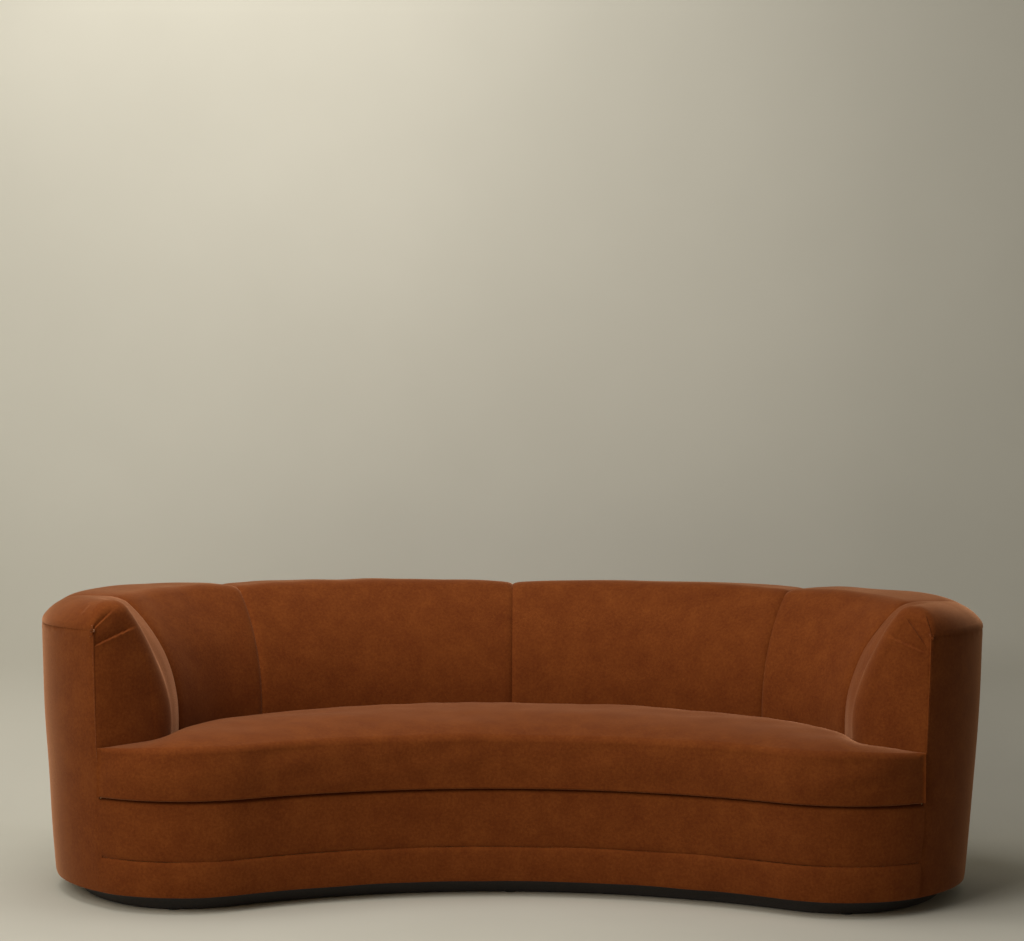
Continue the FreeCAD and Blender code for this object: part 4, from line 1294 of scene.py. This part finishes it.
@dataclass(frozen=True)
class SeatCushion:
    """The loose bench cushion: crowned top, soft front edge, slightly full border, flat underside."""

    plan: SeatPlan = field(default_factory=lambda: SeatPlan(0.0276, -0.005, 0.004))
    foot: float = 0.2772
    edge: float = 0.408
    ear_edge: float = 0.398
    crown: float = 0.044
    ear_crown: float = 0.010
    top_round: float = 0.015
    foot_round: float = 0.007
    belly: float = 0.005
    columns: int = 190
    top_rows: int = 96
    border_rows: int = 30
    round_rows: int = 12
    least_width: float = 0.008
    crown_width: float = 0.35
    crown_power: float = 2.6
    top_share: float = 0.42
    foot_share: float = 0.35
    rear_belly: float = 0.6
    still_height: float = 0.03
    border_from: tuple[float, float] = (0.30, 0.35)
    border_to: tuple[float, float] = (0.385, 0.41)
    waves: tuple[tuple[float, float], ...] = ((0.24, 0.0024), (0.09, 0.0009))
    fold_wave: float = 0.075
    fold_height: float = 0.0016
    fold_stretch: tuple[float, float, float] = (0.35, 0.35, 1.6)

    def loops(self) -> Array:
        """Ring sections from ear to ear: border, rounded edge, crowned top, rear border, underside.

        The top is the edge height plus the crown times one minus a power of the distance from the middle
        line, and each border bows out by a sine of its height.

        Returns:
            Points round each section, by sections, by 3.
        """
        near, far = self.plan.curves(self.columns)
        share = np.linspace(0, 1, self.columns)
        near = np.concatenate([near[:0:-1] * np.array([-1, 1]), near])
        far = np.concatenate([far[:0:-1] * np.array([-1, 1]), far])
        share = np.concatenate([share[:0:-1], share])
        gap = np.linalg.norm(far - near, axis=-1)
        middle = (near + far) / 2
        side = (far - near) / np.maximum(gap, TINY)[:, None]
        side[0], side[-1] = side[1], side[-2]
        width = np.maximum(gap, self.least_width)
        edge = self.edge + (self.ear_edge - self.edge) * share**3
        crown = self.crown + (self.ear_crown - self.crown) * share**2.0
        crown = crown * smooth_step(width, 0.0, self.crown_width)
        top_r = np.minimum(self.top_round, width * self.top_share)
        foot_r = np.minimum(self.foot_round, width * self.foot_share)
        quarter = np.linspace(0, math.pi / 2, self.round_rows, endpoint=False)[:, None]
        rise = np.linspace(0, 1, self.border_rows, endpoint=False)[:, None]
        level = np.linspace(0, 1, self.top_rows, endpoint=False)[:, None]

        def top(x: Array) -> Array:
            """Height of the crowned top at a distance from the front edge."""
            return edge + crown * (1 - np.abs(2 * x / width - 1) ** self.crown_power)

        bow = self.belly * np.sin(math.pi * rise) * smooth_step(width, 0.0, 0.1)
        tall = edge - top_r - self.foot - foot_r
        begin, finish = 1 - np.cos(quarter), 1 - np.sin(quarter)
        x_front, x_rear = top_r * begin, width - top_r * finish
        x_top = top_r + (width - 2 * top_r) * level
        under = level[::4]
        x = [-bow, x_front, x_top, x_rear, width + bow[::-1] * self.rear_belly, width - foot_r * begin,
             width - foot_r - (width - 2 * foot_r) * under, foot_r * finish]
        z = [self.foot + foot_r + tall * rise, top(x_front) - top_r * finish, top(x_top),
             top(x_rear) - top_r * begin, edge - top_r - tall * rise, self.foot + foot_r * finish,
             self.foot + 0 * width + 0 * under, self.foot + foot_r * begin]
        across, height = (np.concatenate([np.broadcast_to(row, (len(row), len(width))) for row in rows])
                          for rows in (x, z))
        start = middle - side * (width / 2)[:, None]
        plan = start + side * across[..., None]
        return np.concatenate([plan, height[..., None]], -1)

    def build(self, velvet: bpy.types.Material) -> bpy.types.Object:
        """Makes the cushion as one closed form.

        Args:
            velvet: The cover's material.

        Returns:
            The cushion.
        """
        loops = self.loops()
        normal = normals_of(loops, True)
        if normal[len(loops) // 3, loops.shape[1] // 2, 2] < 0:
            normal = -normal
        height = loops[..., 2]
        free = smooth_step(height, self.foot, self.foot + self.still_height)
        slow = sum(ripple(loops, wave, 70 + k) * size for k, (wave, size) in enumerate(self.waves))
        border = smooth_step(height, *self.border_from) * (1 - smooth_step(height, *self.border_to))
        fold = ripple(loops * np.array(self.fold_stretch), self.fold_wave, 72) * self.fold_height * border
        loops = loops + normal * ((slow + fold) * free)[..., None]
        thing = piece("velvet_bench_cushion", *tube(loops), velvet, Side.RIGHT, 60.0)
        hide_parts("cushion_core", "cushion_top_panel", "cushion_bottom_panel", "cushion_border",
                    "cushion_zip_band")
        return thing


@dataclass(frozen=True)
class DeckPad:
    """Felt pad under a velvet deck cover, over the springs."""

    plan: SeatPlan = field(default_factory=lambda: SeatPlan(0.012, 0.140, 0.0, True))
    foot: float = 0.2575
    top: float = 0.2764
    columns: int = 120

    def build(self, velvet: bpy.types.Material) -> bpy.types.Object:
        """Makes the deck as a low closed form with rounded rims.

        Args:
            velvet: The cover's material.

        Returns:
            The deck.
        """
        shape = SeatCushion(plan=self.plan, foot=self.foot, edge=self.top, ear_edge=self.top, crown=0.0,
                            ear_crown=0.0, top_round=0.006, foot_round=0.004, belly=0.0,
                            columns=self.columns, top_rows=24, border_rows=4, round_rows=4)
        thing = piece("velvet_deck", *tube(shape.loops()), velvet, Side.RIGHT)
        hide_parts("deck_pad", "deck_cover")
        return thing


# Studio


@dataclass(frozen=True)
class SoftLamp:
    """A square area lamp that points at a spot."""

    name: str
    place: tuple[float, float, float]
    aim: tuple[float, float, float]
    power: float
    colour: str
    size: float = 2.6

    def build(self) -> None:
        """Sets the lamp up; its turn is worked out from the line between its place and the spot."""
        data = bpy.data.lights.new(self.name, "AREA")
        data.size = self.size
        data.energy = self.power
        data.color = srgb(self.colour)[:3]
        thing = linked(self.name, data)
        thing.location = self.place
        back = np.array(self.place) - np.array(self.aim)
        level = math.hypot(back[0], back[1])
        thing.rotation_euler = (math.atan2(level, back[2]), 0.0, math.atan2(back[0], -back[1]))


LAMPS = (
    SoftLamp("window", (-2.8, -3.8, 3.0), (-0.4, 0.0, 0.4), 125.0, "#fffaf2"),
    SoftLamp("ceiling", (-0.9, -0.7, 3.3), (-0.2, 0.2, 0.0), 72.0, "#fffaf4"),
)
PHOTO_WIDTH = 1024


@dataclass(frozen=True)
class Studio:
    """Camera, warm grey sweep and soft lamps."""

    lens: float = 70.9
    camera_y: float = -5.355
    camera_height: float = 1.086
    pitch: float = -0.115
    roll: float = -0.4
    shift_pixels: float = -1.5
    wall_y: float = 1.05
    wall_height: float = 6.0
    floor_front: float = -9.0
    half_width: float = 7.0
    cove: float = 0.45
    cove_rows: int = 24
    ground_half: float = 14.0
    ground_z: float = -0.003
    paint_dark: str = "#bcbaae"
    paint_light: str = "#c1bfb3"
    paint_mm: float = 900.0
    sky: str = "#efe9de"
    sky_strength: float = 0.13

    def sweep(self) -> bpy.types.Object:
        """Floor and wall in one sheet joined by a quarter circle.

        Returns:
            The staged backdrop.
        """
        bend = np.linspace(0, math.pi / 2, self.cove_rows)
        start = self.wall_y - self.cove
        y = np.concatenate([[self.floor_front, start], start + self.cove * np.sin(bend), [self.wall_y]])
        z = np.concatenate([[0.0, 0.0], self.cove * (1 - np.cos(bend)), [self.wall_height]])
        x = np.linspace(-self.half_width, self.half_width, 3)
        grid = np.stack(np.broadcast_arrays(x[None], y[:, None], z[:, None]), -1)
        mesh = bpy.data.meshes.new("studio_sweep")
        mesh.from_pydata(grid.reshape(-1, 3).tolist(), [], quads(*grid.shape[:2]).tolist())
        if mesh.polygons[0].normal.z < 0:
            mesh.flip_normals()
        mesh.shade_smooth()
        thing = linked("studio_sweep", mesh)
        mesh.materials.append(self.one_sided(self.paint("matt_plaster")))
        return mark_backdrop(thing)

    def paint(self, name: str) -> bpy.types.Material:
        """Matt paint, near even, as on a plastered wall."""
        return Plain(name, self.paint_dark, self.paint_light, self.paint_mm, roughness=0.95, bump=0.0).build()

    def ground(self) -> None:
        """Floor behind the wall, just under the sweep, for views from the back."""
        mesh = bpy.data.meshes.new("studio_ground")
        reach, level = self.ground_half, self.ground_z
        corners = [(x * reach, y * reach, level) for x, y in ((-1, -1), (1, -1), (1, 1), (-1, 1))]
        mesh.from_pydata(corners, [], [(0, 1, 2, 3)])
        mesh.materials.append(self.paint("matt_floor"))
        thing = linked("studio_ground", mesh)

    @staticmethod
    def one_sided(material: bpy.types.Material) -> bpy.types.Material:
        """Makes the sweep's far side clear, so the wall doesn't hide the sofa from behind.

        Args:
            material: The paint, changed in place.

        Returns:
            The same material.
        """
        tree = material.node_tree
        paint = tree.nodes["Principled BSDF"].outputs["BSDF"]
        clear = add_node(tree, "ShaderNodeBsdfTransparent").outputs["BSDF"]
        behind = add_node(tree, "ShaderNodeNewGeometry").outputs["Backfacing"]
        both = add_node(tree, "ShaderNodeMixShader", {0: behind, 1: paint, 2: clear})
        tree.links.new(both.outputs["Shader"], tree.nodes["Material Output"].inputs["Surface"])
        return material

    def build(self) -> None:
        """Sets camera, backdrop, lamps and world."""
        scene = bpy.context.scene
        scene.view_settings.view_transform = "Standard"
        camera = linked("camera", bpy.data.cameras.new("camera"))
        camera.data.lens = self.lens
        camera.data.sensor_width = 36.0
        camera.data.clip_end = 60.0
        camera.data.shift_x = self.shift_pixels / PHOTO_WIDTH
        camera.location = (0.0, self.camera_y, self.camera_height)
        camera.rotation_mode = "XYZ"
        camera.rotation_euler = (math.radians(90 + self.pitch), math.radians(self.roll), 0.0)
        scene.camera = camera
        self.sweep()
        self.ground()
        for lamp in LAMPS:
            lamp.build()
        world = bpy.data.worlds.new("world")
        scene.world = world
        world.use_nodes = True
        sky = world.node_tree.nodes["Background"]
        sky.inputs["Color"].default_value = srgb(self.sky)
        sky.inputs["Strength"].default_value = self.sky_strength


@dataclass(frozen=True)
class InnerWorks:
    """The solids kept from the frame: boards, springs, webbing, cloths, plinth and glides."""

    def dress(self, frame: dict, finishes: dict[str, bpy.types.Material]) -> int:
        """Gives every kept solid the finish of its material slot.

        Args:
            frame: The loaded model: its nodes by name, and its record.
            finishes: Materials by slot.

        Returns:
            How many solids were dressed.
        """
        slots = {row["node"]: row["material_slot"] for row in frame["record"]["subparts"]}
        count = 0
        for name, node in frame["nodes"].items():
            if node.hide_render:
                continue
            material = finishes[slots[name]]
            if not node.data.materials:
                node.data.materials.append(material)
            for slot in node.material_slots:
                slot.material = material
            count += 1
        return count


def ride_all(things: list[bpy.types.Object], body: str) -> None:
    """Ties pieces to a body and logs them.

    Args:
        things: Finished pieces.
        body: Body that they move with.
    """
    for thing in things:
        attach(thing, body)
        LOG.info("%s: %d faces on %s", thing.name, len(thing.data.polygons), body)


def main() -> None:
    """Builds the sofa in order."""
    logging.basicConfig(level=logging.INFO, format="%(name)s %(message)s")
    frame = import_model()
    velvet = Velvet().build()
    finishes = {slot: finish.build() for slot, finish in FINISHES.items()}
    finishes["velvet"] = velvet
    finishes["cushion_foam"] = finishes["foam"]
    ride_all(BackChannels().build(velvet), "sofa_body")
    ride_all(Arms().build(velvet), "sofa_body")
    ride_all(OutsideCovers().build(velvet), "sofa_body")
    ride_all(Apron().build(velvet), "sofa_body")
    ride_all([DeckPad().build(velvet)], "sofa_body")
    ride_all([SeatCushion().build(velvet)], "seat_cushion")
    LOG.info("%d solids kept", InnerWorks().dress(frame, finishes))
    Studio().build()


if __name__ == "__main__":
    main()
